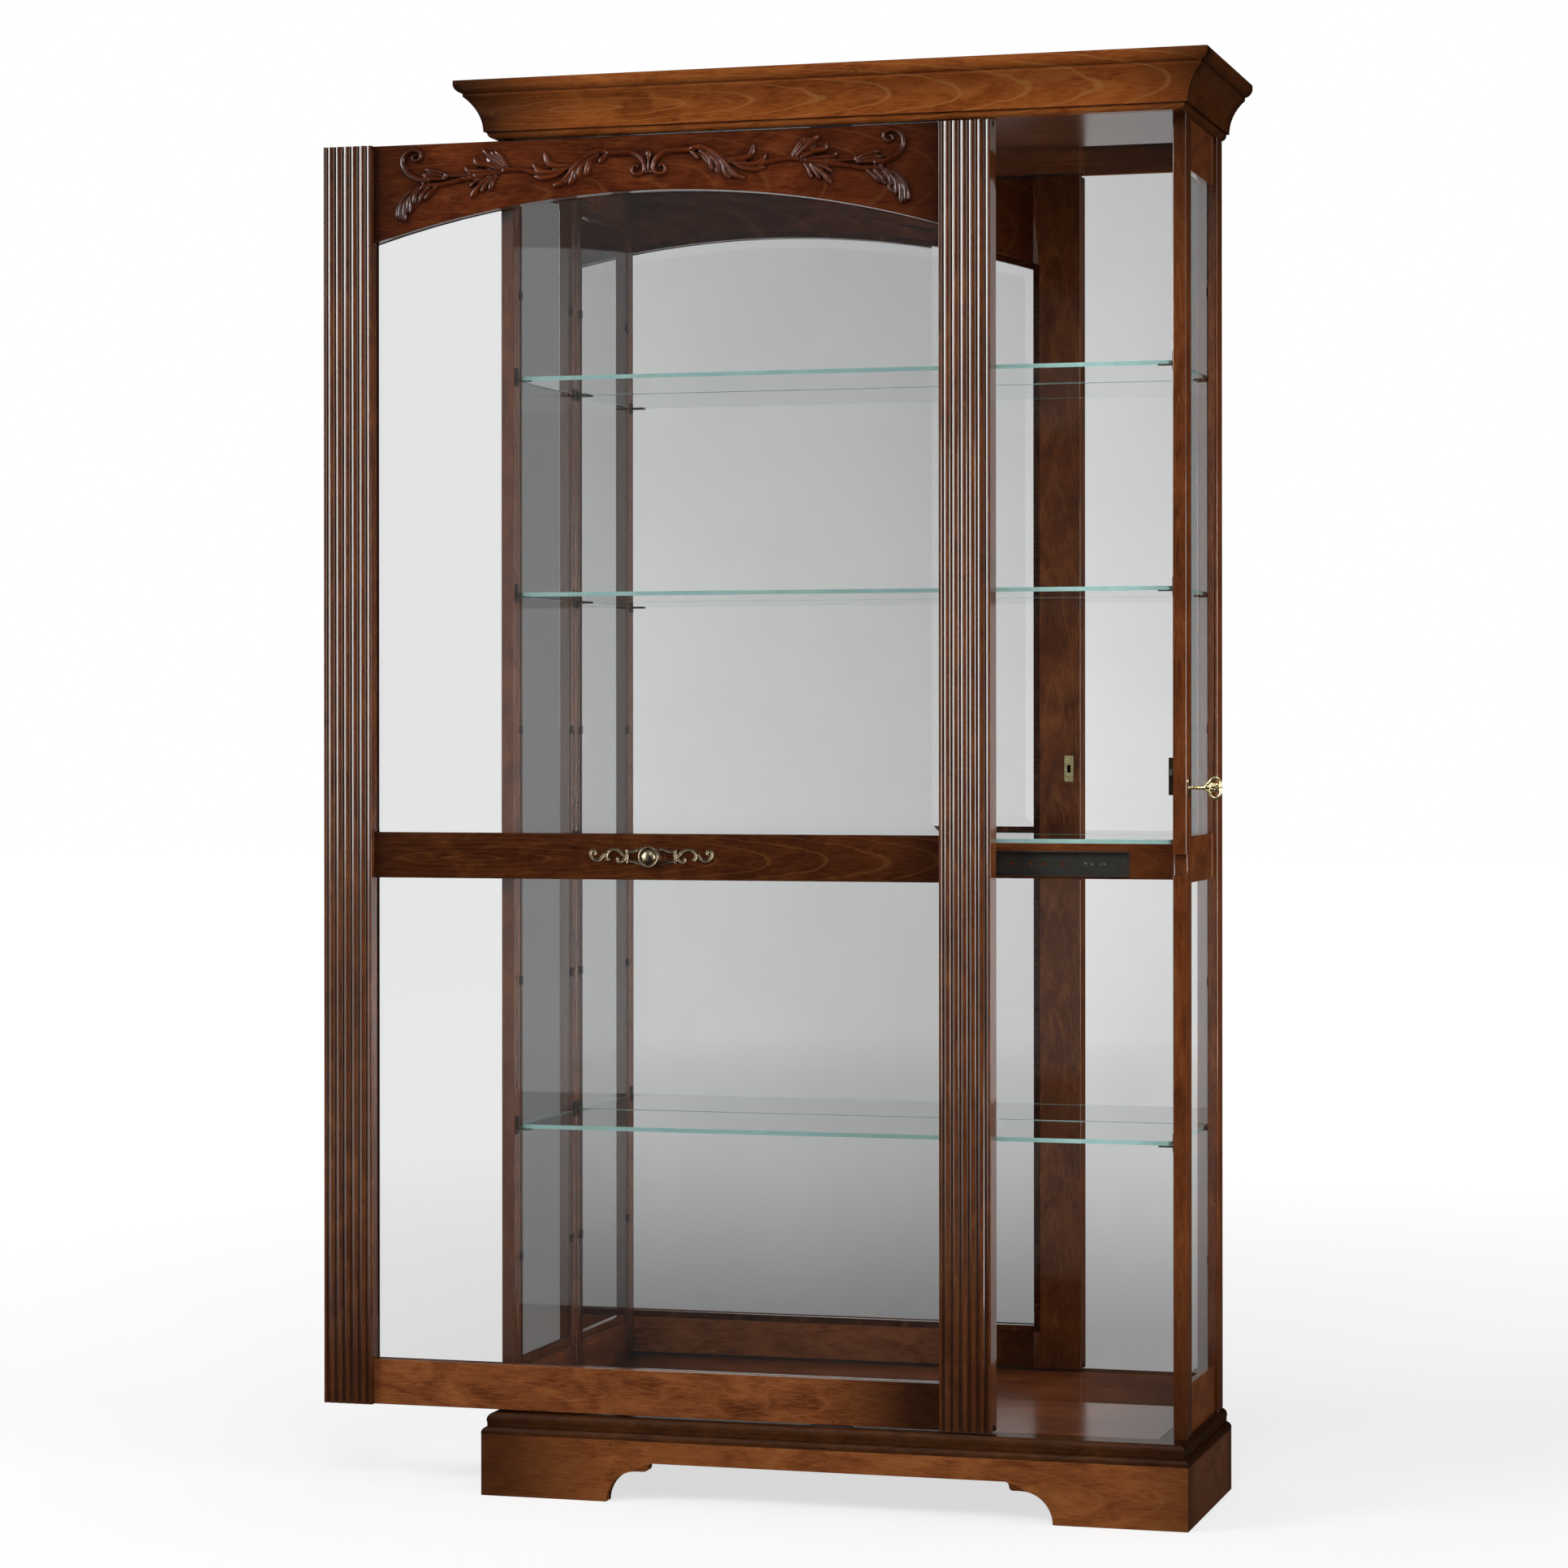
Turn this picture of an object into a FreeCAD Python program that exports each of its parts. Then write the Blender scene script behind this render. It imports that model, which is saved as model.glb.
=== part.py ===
import FreeCAD, Part
import math
import os

# Display case with one wide sliding glazed door. Millimetres.
# The origin is on the floor at the middle of the back face. +X is to the right seen from the front,
# the front faces -Y and +Z is up. The door stands part way open to the left.

V = FreeCAD.Vector

# Case
CASE_W = 1005.0
CASE_D = 286.0
POST_W = 19.0
POST_D = 40.0
OPENING_TOP = 1953.0

# Base
BASE_OUT = 12.5
BASE_FRONT_OUT = 56.0
BASE_H = 88.0
BASE_T = 20.0
FOOT_L = 190.0
FOOT_COVE = 45.0
FOOT_LEDGE = 11.0
FOOT_STEP = 12.0
BLOCK_W = 60.0
BLOCK_LIFT = 9.0

# Cap moulding on the base
CAP_H = 29.0
CAP_W = 50.0
CAP_LIP = 15.0
CAP_LOW_IN = 7.0
CAP_LOW_H = 10.0
CAP_FILLET_H = 6.0
DECK_T = 18.0

# Levelling feet
LEVEL_R = 14.0
LEVEL_PAD_H = 6.0
LEVEL_RISE = 1.0
LEVEL_STEM_R = 4.0
LEVEL_STEM_L = 55.0
LEVEL_FIT = 0.05

# Crown moulding
CROWN_OUT = 44.75
CROWN_FRONT_OUT = 82.3
CROWN_H = 79.0
CROWN_T = 60.0
CROWN_FACE_H = 7.0
CROWN_LIP_H = 10.5
CROWN_LIP_IN = 10.0
CROWN_QUIRK_IN = 1.0
CROWN_QUIRK_H = 4.5
CROWN_FOOT_IN = 34.0
CROWN_FOOT_H = 13.0
CROWN_BEAD_IN = 4.5
CROWN_BEAD_H = 9.0
CROWN_COVE_BEND = 0.5
CROWN_LIP_BEND = 0.7
TOP_T = 18.0
TOP_FRONT_W = 124.3
COVER_T = 6.0
COVER_DROP = 8.0
CROWN_BACK_T = 18.0

# Side frames and panes
SIDE_RAIL_SET = 4.5
SIDE_BOTTOM_H = 68.0
SIDE_MID_Z = 886.0
SIDE_MID_H = 65.0
SIDE_TOP_H = 71.0
PANE_T = 4.0
PANE_LAP = 10.0
RABBET_W = 12.0
TENON_L = 12.0
TENON_T = 7.0
TENON_SET = 5.5
TENON_SHOULDER = 6.0
JOINT_FIT = 0.1
PANE_CLIP_T = 1.2
PANE_CLIP_W = 11.0
PANE_CLIP_H = 12.0
PANE_CLIP_SEAT = 3.7
PANE_CLIP_END = 150.0

# Front mid rail
MID_RAIL_Z = 891.6
MID_RAIL_H = 49.4
MID_RAIL_T = 22.0
MID_RAIL_BACK = 8.0
NOTCH_GAP = 1.4

# Mirror and back
MIRROR_T = 4.0
BACK_T = 4.0
MIRROR_LAP = 8.5
MIRROR_FIT = 0.5

# Shelves and their clips
SHELF_T = 6.0
SHELF_END_GAP = 5.5
SHELF_FRONT_GAP = 14.0
SHELF_BACK_GAP = 4.0
SHELF_CORNER_R = 5.0
HOLE_R = 2.5
HOLE_DEEP = 10.0
HOLE_PITCH = 52.2
HOLE_FRONT_Y = 11.0
HOLE_BACK_Y = 18.0
UPPER_HOLE_Z = 990.5
UPPER_HOLES = 17
LOWER_HOLE_Z = 271.0
LOWER_HOLES = 12
HOLES_BELOW_TOP = 12
HOLES_BELOW_SECOND = 6
HOLES_BELOW_LOW = 5
CLIP_T = 1.5
CLIP_W = 12.0
CLIP_ARM = 22.0
CLIP_UP = 18.0
CLIP_DOWN = 8.0
CLIP_PIN_UP = 10.0
CLIP_PIN_L = 8.0
CLIP_PIN_FIT = 0.1

# Door
DOOR_END_GAP = 4.0
DOOR_GAP = 5.0
DOOR_FLOAT = 3.0
STILE_W = 74.0
STILE_T = 37.0
RAIL_T = 27.0
ARCH_SPRING_DROP = 142.0
ARCH_CROWN_DROP = 79.0
DOOR_MID_Z = 886.0
DOOR_MID_H = 66.0
DOOR_BOTTOM_H = 65.0
DOOR_OPEN = 264.4
FLUTES = 6
FLUTE_EDGE = 6.75
FLUTE_R = 4.2
FLUTE_DEPTH = 1.6
DOOR_PANE_T = 5.0
DOOR_RABBET_W = 10.0
DOOR_RABBET_SET = 12.0
DOOR_PANE_FIT = 2.0
BEVEL_W = 15.0
BEVEL_T = 1.5
STOP_T = 8.0
DOOR_TENON_L = 30.0
DOOR_TENON_T = 8.0
DOOR_TENON_SET = 3.0
DOOR_TENON_SHOULDER = 16.0
GUIDE_L = 60.0
GUIDE_T = 6.0
GUIDE_H = 12.0
GUIDE_GAP = 0.5
GUIDE_SET = 7.0

# Carving on the door's top rail
CARVING_T = 8.0
CARVING_MARGIN = 42.0
CARVING_DROP = 50.0

# Pull
PULL_L = 194.0
PULL_PLATE_T = 2.0
PULL_RING_R = 15.5
PULL_RING_H = 3.0
PULL_KNOB_R = 11.0
PULL_KNOB_H = 18.0
PULL_KNOB_ROUND = 6.6
PULL_BAND = 5.0
PULL_SCROLL_R = 10.0

# Ball bearing slide
SLIDE_Z = 912.5
SLIDE_HALF_H = 17.5
SLIDE_SHEET = 1.2
SLIDE_CASE_L = 841.0
SLIDE_MIDDLE_L = 748.0
SLIDE_DOOR_L = 748.0
CAGE_L = 400.0
CAGE_SHEET = 0.6
BALL_R = 1.5
BALL_FIT = 0.05
BALLS = 8
CASE_LIP = 10.5
MIDDLE_SET = 3.6
MIDDLE_LIP = 11.0
DOOR_LIP_SET = 6.2
SCREW_R = 1.75
SCREW_HEAD_R = 3.5
SCREW_HEAD_H = 0.5
SCREW_L = 13.0
SCREW_FIT = 0.05
SCREW_PITCH = 180.0
SLIDE_SLOT_L = 7.0
SLIDE_SLOT_H = 4.0
SLIDE_SLOTS = (254.0, 281.0, 300.0, 326.0)
RIVETS = (363.0, 368.0, 380.0, 385.0)
RIVET_R = 1.6

# Lock and key
LOCK_Z = 1009.0
LOCK_H = 52.0
LOCK_W = 26.0
LOCK_T = 6.7
LOCK_WALL = 1.4
LOCK_SET = 4.0
KEY_Z = 1019.4
KEY_Y = 15.0
KEY_R = 3.0
KEY_FIT = 0.05
KEY_SHANK_R = 2.2
KEY_OUT = 47.0
KEY_BOW_R = 7.5
KEY_BOW_HOLE = 3.6
KEY_BOW_T = 3.0
KEY_BIT = 6.0
KEY_BIT_T = 1.8
BOLT_T = 4.0
BOLT_H = 10.0
BOLT_UP = 27.0
BOLT_L = 22.0
BOLT_TIP = 3.0
BOLT_FIT = 0.4
BOLT_TALON_H = 9.0
BOLT_TALON_W = 4.0
ESCUTCHEON_W = 17.0
ESCUTCHEON_H = 28.0
ESCUTCHEON_T = 1.5
ESCUTCHEON_ROUND = 7.5
STRIKE_W = 14.0
STRIKE_H = 40.0
STRIKE_T = 1.2
STRIKE_POCKET = 12.0

# Places worked out from the sizes above
CASE_X = CASE_W / 2
CASE_Y = -CASE_D
POST_IN = CASE_X - POST_W
BASE_X = CASE_X + BASE_OUT
BASE_D = CASE_D + BASE_FRONT_OUT
BASE_TOP = BASE_H + CAP_H
DECK_LOW = BASE_TOP - DECK_T
RAIL_OUT = CASE_X - SIDE_RAIL_SET
FRONT_POST_BACK = CASE_Y + POST_D
BACK_POST_FRONT = -POST_D
SIDE_BOTTOM_TOP = BASE_TOP + SIDE_BOTTOM_H
SIDE_MID_TOP = SIDE_MID_Z + SIDE_MID_H
SIDE_TOP_Z = OPENING_TOP - SIDE_TOP_H
MIRROR_Y = -(BACK_T + MIRROR_T)
MIRROR_X = POST_IN + MIRROR_LAP
MID_RAIL_Y = CASE_Y + MID_RAIL_BACK
MID_RAIL_TOP = MID_RAIL_Z + MID_RAIL_H
CROWN_X = CASE_X + CROWN_OUT
CROWN_Y = CASE_Y - CROWN_FRONT_OUT
CROWN_TOP = OPENING_TOP + CROWN_H
TOP_TOP = OPENING_TOP + TOP_T
TOP_X = CROWN_X - CROWN_T
TOP_Y = CROWN_Y + CROWN_T
TOP_JOINT_Y = CASE_Y + TOP_FRONT_W
DOOR_W = CASE_W - 2 * DOOR_END_GAP
DOOR_BACK_Y = CASE_Y - DOOR_GAP
STILE_Y = DOOR_BACK_Y - STILE_T
RAIL_Y = DOOR_BACK_Y - RAIL_T
DOOR_LOW = BASE_TOP + DOOR_FLOAT
DOOR_TOP = OPENING_TOP - DOOR_FLOAT
DOOR_X = -DOOR_OPEN
SIGHT = DOOR_W / 2 - STILE_W
DOOR_MID_TOP = DOOR_MID_Z + DOOR_MID_H
DOOR_BOTTOM_TOP = DOOR_LOW + DOOR_BOTTOM_H
SPRING_Z = DOOR_TOP - ARCH_SPRING_DROP
ARCH_Z = DOOR_TOP - ARCH_CROWN_DROP
ARCH_RISE = ARCH_Z - SPRING_Z
ARCH_R = (SIGHT * SIGHT + ARCH_RISE * ARCH_RISE) / (2 * ARCH_RISE)
PANE_Y = RAIL_Y + DOOR_RABBET_SET
GUIDE_Y = RAIL_Y + GUIDE_SET
LOCK_Y = CASE_Y + LOCK_SET
KEY_LINE_Y = CASE_Y + KEY_Y
BOLT_Z = LOCK_Z + BOLT_UP
LOCK_IN = POST_IN - LOCK_T
BOLT_X = LOCK_IN + LOCK_WALL + BOLT_FIT
SHELF_X = POST_IN - SHELF_END_GAP
HOLE_YS = (CASE_Y + HOLE_FRONT_Y, -HOLE_BACK_Y)
TOP_SHELF_Z = UPPER_HOLE_Z + HOLES_BELOW_TOP * HOLE_PITCH - CLIP_PIN_UP
SECOND_SHELF_Z = UPPER_HOLE_Z + HOLES_BELOW_SECOND * HOLE_PITCH - CLIP_PIN_UP
LOW_SHELF_Z = LOWER_HOLE_Z + HOLES_BELOW_LOW * HOLE_PITCH - CLIP_PIN_UP
SHELVES = {"shelf_top": TOP_SHELF_Z, "shelf_second": SECOND_SHELF_Z,
           "shelf_middle": MID_RAIL_TOP, "shelf_low": LOW_SHELF_Z}
BALL_GAP = 2 * (BALL_R + BALL_FIT)
CASE_IN = SLIDE_HALF_H - SLIDE_SHEET
MIDDLE_OUT = CASE_IN - BALL_GAP
MIDDLE_IN = MIDDLE_OUT - SLIDE_SHEET
DOOR_BAR_OUT = MIDDLE_IN - BALL_GAP
QUARTER = (math.sqrt(2) - 1) / 2
OVER = 1.0


def block(x0, x1, y0, y1, z0, z1):
    """A box from its two corners, in any order."""
    low = V(min(x0, x1), min(y0, y1), min(z0, z1))
    return Part.makeBox(abs(x1 - x0), abs(y1 - y0), abs(z1 - z0), low)


def rod(radius, start, end):
    """A round bar from one point to another."""
    axis = end - start
    return Part.makeCylinder(radius, axis.Length, start, axis)


def outline(start, steps, place):
    """A face from a start point and steps of (end, bulge). A bulge of 0 is a straight run."""
    edges = []
    here = start
    for end, bulge in steps:
        first = place(*here)
        last = place(*end)
        if bulge:
            across = (end[0] - here[0], end[1] - here[1])
            via = ((here[0] + end[0]) / 2 - across[1] * bulge, (here[1] + end[1]) / 2 + across[0] * bulge)
            edges.append(Part.Arc(first, place(*via), last).toShape())
        else:
            edges.append(Part.LineSegment(first, last).toShape())
        here = end
    return Part.Face(Part.Wire(edges))


def corners(points):
    """Straight steps round a closed outline."""
    return points[0], [(p, 0) for p in points[1:]] + [(points[0], 0)]


def slab(points, z0, z1):
    """An upright prism over a plan outline."""
    return outline(*corners(points), lambda x, y: V(x, y, z0)).extrude(V(0, 0, z1 - z0))


def front_run(start, steps, half_w, front_y, inset):
    """A moulding across the front, mitred at both ends."""
    bar = outline(start, steps, lambda o, z: V(-half_w, front_y + o, z)).extrude(V(2 * half_w, 0, 0))
    box = bar.BoundBox
    plan = [(-half_w, front_y), (half_w, front_y), (half_w - inset, front_y + inset),
            (-half_w + inset, front_y + inset)]
    return bar.common(slab(plan, box.ZMin - OVER, box.ZMax + OVER))


def side_run(start, steps, side, half_w, front_y, inset):
    """A moulding along one side, mitred at the front and square at the back."""
    bar = outline(start, steps, lambda o, z: V(side * (half_w - o), front_y, z)).extrude(V(0, -front_y, 0))
    box = bar.BoundBox
    plan = [(side * half_w, front_y), (side * half_w, 0), (side * (half_w - inset), 0),
            (side * (half_w - inset), front_y + inset)]
    return bar.common(slab(plan, box.ZMin - OVER, box.ZMax + OVER))


def save(name, *solids):
    """Write one node, of one solid or of a group of separate solids."""
    shape = solids[0] if len(solids) == 1 else Part.makeCompound(list(solids))
    shape.exportStep("parts/" + name + ".step")


def base_boards():
    """The mitred front apron with its cut-out, and the two side boards."""
    board = corners([(0, 0), (BASE_T, 0), (BASE_T, BASE_H), (0, BASE_H)])
    foot = BASE_X - FOOT_L
    cove = foot - FOOT_COVE
    ledge = cove - FOOT_LEDGE
    top = ledge - FOOT_STEP
    top_z = FOOT_COVE + FOOT_STEP
    turn = ledge - FOOT_STEP / 2
    turn_z = FOOT_COVE + FOOT_STEP / 2
    steps = [((-cove, FOOT_COVE), QUARTER), ((-ledge, FOOT_COVE), 0), ((-turn, turn_z), -QUARTER),
             ((-top, top_z), QUARTER), ((top, top_z), 0), ((turn, turn_z), QUARTER),
             ((ledge, FOOT_COVE), -QUARTER), ((cove, FOOT_COVE), 0), ((foot, 0), QUARTER), ((-foot, 0), 0)]
    gap = outline((-foot, 0), steps, lambda x, z: V(x, -BASE_D - OVER, z))
    apron = front_run(*board, BASE_X, -BASE_D, BASE_T)
    save("base_front_apron", apron.cut(gap.extrude(V(0, BASE_T + 2 * OVER, 0))))
    save("base_sides", *[side_run(*board, side, BASE_X, -BASE_D, BASE_T) for side in (-1, 1)])


def base_back_rail():
    """The back board of the base, with a tongue under the deck."""
    half = BASE_X - BASE_T
    lip = BASE_X - CAP_W - CAP_LIP
    rail = block(-half, half, -BASE_T, 0, 0, BASE_H)
    save("base_back_rail", rail.fuse(block(-lip, lip, -BASE_T, 0, BASE_H, DECK_LOW)).removeSplitter())


def base_cap():
    """The stepped cap moulding, rabbeted inside to carry the deck."""
    fillet_z = BASE_H + CAP_LOW_H + CAP_FILLET_H
    steps = [((CAP_LOW_IN, BASE_H + CAP_LOW_H), QUARTER), ((CAP_LOW_IN, fillet_z), 0),
             ((BASE_OUT, BASE_TOP), QUARTER), ((CAP_W, BASE_TOP), 0), ((CAP_W, DECK_LOW), 0),
             ((CAP_W + CAP_LIP, DECK_LOW), 0), ((CAP_W + CAP_LIP, BASE_H), 0), ((0, BASE_H), 0)]
    inset = CAP_W + CAP_LIP
    sides = [side_run((0, BASE_H), steps, side, BASE_X, -BASE_D, inset) for side in (-1, 1)]
    save("base_cap_moulding", front_run((0, BASE_H), steps, BASE_X, -BASE_D, inset), *sides)


def deck():
    """The floor of the case, flush with the cap."""
    half = BASE_X - CAP_W
    save("deck_panel", block(-half, half, -BASE_D + CAP_W, 0, DECK_LOW, BASE_TOP))


def levelling():
    """Glue blocks in the corners of the base, each with a levelling foot screwed into it."""
    blocks = []
    out = BASE_X - BASE_T
    rows = {"front": -BASE_D + BASE_T, "back": -BASE_T - BLOCK_W}
    for row, y0 in rows.items():
        for name, side in (("left", -1), ("right", 1)):
            x = side * (out - BLOCK_W / 2)
            y = y0 + BLOCK_W / 2
            top = LEVEL_RISE + LEVEL_PAD_H + LEVEL_STEM_L
            wood = block(side * out, side * (out - BLOCK_W), y0, y0 + BLOCK_W, BLOCK_LIFT, BASE_H)
            blocks.append(wood.cut(rod(LEVEL_STEM_R + LEVEL_FIT, V(x, y, 0), V(x, y, top + OVER))))
            pad = rod(LEVEL_R, V(x, y, LEVEL_RISE), V(x, y, LEVEL_RISE + LEVEL_PAD_H))
            stem = rod(LEVEL_STEM_R, V(x, y, LEVEL_RISE + LEVEL_PAD_H / 2), V(x, y, top))
            save("leveller_" + row + "_" + name, pad.fuse(stem).removeSplitter())
    save("corner_blocks", *blocks)


def side_levels():
    """The lowest and highest edge of each side rail."""
    return {"bottom": (BASE_TOP, SIDE_BOTTOM_TOP), "mid": (SIDE_MID_Z, SIDE_MID_TOP),
            "top": (SIDE_TOP_Z, OPENING_TOP)}


def pane_levels():
    """The sight edges of each side pane."""
    return {"lower": (SIDE_BOTTOM_TOP, SIDE_MID_Z), "upper": (SIDE_MID_TOP, SIDE_TOP_Z)}


def side_tenons(side, grow):
    """The tenons of one side's rails, as solids or, grown, as mortises."""
    x0 = POST_IN + TENON_SET
    found = []
    for low, high in side_levels().values():
        for shoulder, end in ((FRONT_POST_BACK, -1), (BACK_POST_FRONT, 1)):
            tip = shoulder + end * (TENON_L + grow)
            found.append(block(side * (x0 - grow), side * (x0 + TENON_T + grow), shoulder, tip,
                               low + TENON_SHOULDER - grow, high - TENON_SHOULDER + grow))
    return found


def front_tenon(side, grow):
    """The tenon at one end of the front mid rail."""
    y = MID_RAIL_Y + MID_RAIL_T / 2
    half = TENON_T / 2 + grow
    return block(side * POST_IN, side * (POST_IN + TENON_L + grow), y - half, y + half,
                 MID_RAIL_Z + TENON_SHOULDER - grow, MID_RAIL_TOP - TENON_SHOULDER + grow)


def pane_space(side, low, high, lap):
    """The room that a side pane, or its rabbet, takes."""
    return block(side * POST_IN, side * (POST_IN + PANE_T), FRONT_POST_BACK - lap, BACK_POST_FRONT + lap,
                 low - lap, high + lap)


def side_rails():
    """The top, mid and bottom rails of both sides, tenoned into the posts."""
    for name, (low, high) in side_levels().items():
        pair = []
        for side in (-1, 1):
            rail = block(side * POST_IN, side * RAIL_OUT, FRONT_POST_BACK, BACK_POST_FRONT, low, high)
            for tenon in side_tenons(side, 0):
                if low < tenon.CenterOfMass.z < high:
                    rail = rail.fuse(tenon)
            for sill, head in pane_levels().values():
                rail = rail.cut(pane_space(side, sill, head, RABBET_W))
            pair.append(rail.removeSplitter())
        save("side_" + name + "_rails", *pair)


def side_panes():
    """Four panes, each lying in a rabbet on the inside, and the clips that hold them."""
    clips = []
    for side_name, side in (("left", -1), ("right", 1)):
        for level, (low, high) in pane_levels().items():
            save("side_pane_" + level + "_" + side_name, pane_space(side, low, high, PANE_LAP))
            for edge, end in ((FRONT_POST_BACK - RABBET_W, 1), (BACK_POST_FRONT + RABBET_W, -1)):
                for z in (low + PANE_CLIP_END, high - PANE_CLIP_END):
                    y0 = edge - end * PANE_CLIP_SEAT
                    clips.append(block(side * (POST_IN - PANE_CLIP_T), side * POST_IN, y0,
                                       y0 + end * PANE_CLIP_W, z - PANE_CLIP_H / 2, z + PANE_CLIP_H / 2))
    save("side_pane_clips", *clips)


def hole_heights():
    """Where the shelf clips can be set, counted from the lowest hole of each half."""
    upper = [UPPER_HOLE_Z + n * HOLE_PITCH for n in range(UPPER_HOLES)]
    lower = [LOWER_HOLE_Z + n * HOLE_PITCH for n in range(LOWER_HOLES)]
    return upper + lower


def clip_seats():
    """The shelf height and the post line of every shelf clip on one side."""
    seats = []
    for name, z in SHELVES.items():
        lines = HOLE_YS[1:] if name == "shelf_middle" else HOLE_YS
        seats.extend((z, y) for y in lines)
    return seats


def slide_notch(side):
    """The notch across the front of a post that the slide runs out through."""
    half = MIDDLE_OUT + NOTCH_GAP
    return block(side * (POST_IN - OVER), side * (CASE_X + OVER), CASE_Y - OVER, MID_RAIL_Y,
                 SLIDE_Z - half, SLIDE_Z + half)


def posts():
    """Four posts with their mortises, rabbets, shelf holes and, on the right, the keyhole."""
    for row in ("front", "back"):
        y0, y1 = (CASE_Y, FRONT_POST_BACK) if row == "front" else (BACK_POST_FRONT, 0)
        hole_y = HOLE_YS[0] if row == "front" else HOLE_YS[1]
        for name, side in (("left", -1), ("right", 1)):
            post = block(side * POST_IN, side * CASE_X, y0, y1, BASE_TOP, OPENING_TOP)
            cuts = side_tenons(side, JOINT_FIT)
            cuts += [pane_space(side, low, high, RABBET_W) for low, high in pane_levels().values()]
            heights = hole_heights()
            if row == "front":
                cuts += [front_tenon(side, JOINT_FIT), slide_notch(side)]
                if side > 0:
                    cuts.append(key_bore(POST_IN, CASE_X))
            else:
                heights = heights + [MID_RAIL_TOP + CLIP_PIN_UP]
                cuts.append(block(side * POST_IN, side * (MIRROR_X + MIRROR_FIT), MIRROR_Y, 0,
                                  BASE_TOP, OPENING_TOP))
            for z in heights:
                mouth = V(side * POST_IN, hole_y, z)
                cuts.append(rod(HOLE_R, mouth, mouth + V(side * HOLE_DEEP, 0, 0)))
            save("post_" + row + "_" + name, post.cut(Part.makeCompound(cuts)))


def slide_screws(y, toward, reach):
    """Low headed screws along the slide, with heads at y and shanks that run the way of toward."""
    count = int(reach // SCREW_PITCH)
    found = []
    for n in range(-count, count + 1):
        seat = V(n * SCREW_PITCH, y, SLIDE_Z)
        head = rod(SCREW_HEAD_R, seat - V(0, toward * SCREW_HEAD_H, 0), seat)
        found.append(head.fuse(rod(SCREW_R, seat, seat + V(0, toward * SCREW_L, 0))).removeSplitter())
    return found


def screw_holes(y, toward, reach):
    """The holes that those screws sit in."""
    count = int(reach // SCREW_PITCH)
    found = []
    for n in range(-count, count + 1):
        seat = V(n * SCREW_PITCH, y, SLIDE_Z)
        found.append(rod(SCREW_R + SCREW_FIT, seat, seat + V(0, toward * (SCREW_L + OVER), 0)))
    return found


def case_screw_line():
    """Where the slide's case side screws start, which way they go and how far they spread."""
    return MID_RAIL_Y - SLIDE_SHEET, 1, SLIDE_CASE_L / 2


def door_screw_line():
    """The same for the screws into the back of the door."""
    return DOOR_BACK_Y + SLIDE_SHEET, -1, SLIDE_DOOR_L / 2


def front_mid_rail():
    """The rail across the middle of the case that carries the slide and the middle shelf."""
    rail = block(-POST_IN, POST_IN, MID_RAIL_Y, MID_RAIL_Y + MID_RAIL_T, MID_RAIL_Z, MID_RAIL_TOP)
    for side in (-1, 1):
        rail = rail.fuse(front_tenon(side, 0))
    save("front_mid_rail", rail.removeSplitter().cut(Part.makeCompound(screw_holes(*case_screw_line()))))


def mirror_and_back():
    """The mirror and the panel behind it, both let into the back posts."""
    save("mirror", block(-MIRROR_X, MIRROR_X, MIRROR_Y, -BACK_T, BASE_TOP, OPENING_TOP))
    save("back_panel", block(-MIRROR_X, MIRROR_X, -BACK_T, 0, BASE_TOP, OPENING_TOP))


def top():
    """The boards over the case, the crown round them and the cover that closes it."""
    save("top_front_board", block(-TOP_X, TOP_X, TOP_Y, TOP_JOINT_Y, OPENING_TOP, TOP_TOP))
    save("ceiling_panel", block(-TOP_X, TOP_X, TOP_JOINT_Y, 0, OPENING_TOP, TOP_TOP))
    cover_z = CROWN_TOP - COVER_DROP - COVER_T
    save("crown_back_rail", block(-TOP_X, TOP_X, -CROWN_BACK_T, 0, TOP_TOP, cover_z))
    save("top_cover", block(-TOP_X, TOP_X, TOP_Y, 0, cover_z, cover_z + COVER_T))
    foot_z = OPENING_TOP + CROWN_FOOT_H
    lip_z = CROWN_TOP - CROWN_FACE_H - CROWN_LIP_H
    quirk_in = CROWN_LIP_IN + CROWN_QUIRK_IN
    bead_z = OPENING_TOP + CROWN_BEAD_H
    steps = [((CROWN_OUT, OPENING_TOP), 0), ((CROWN_FOOT_IN + CROWN_BEAD_IN, bead_z), QUARTER),
             ((CROWN_FOOT_IN, bead_z), 0), ((CROWN_FOOT_IN, foot_z), 0),
             ((quirk_in, lip_z - CROWN_QUIRK_H), -QUARTER * CROWN_COVE_BEND), ((quirk_in, lip_z), 0),
             ((CROWN_LIP_IN, lip_z), 0), ((0, CROWN_TOP - CROWN_FACE_H), QUARTER * CROWN_LIP_BEND),
             ((0, CROWN_TOP), 0), ((CROWN_T, CROWN_TOP), 0), ((CROWN_T, OPENING_TOP), 0)]
    start = (CROWN_T, OPENING_TOP)
    sides = [side_run(start, steps, side, CROWN_X, CROWN_Y, CROWN_T) for side in (-1, 1)]
    save("crown_moulding", front_run(start, steps, CROWN_X, CROWN_Y, CROWN_T), *sides)


def shelves():
    """Four glass shelves with rounded corners."""
    for name, z in SHELVES.items():
        glass = block(-SHELF_X, SHELF_X, CASE_Y + SHELF_FRONT_GAP, MIRROR_Y - SHELF_BACK_GAP, z, z + SHELF_T)
        upright = [e for e in glass.Edges if abs(e.Vertexes[0].Z - e.Vertexes[1].Z) > SHELF_T / 2]
        save(name, glass.makeFillet(SHELF_CORNER_R, upright))


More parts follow.
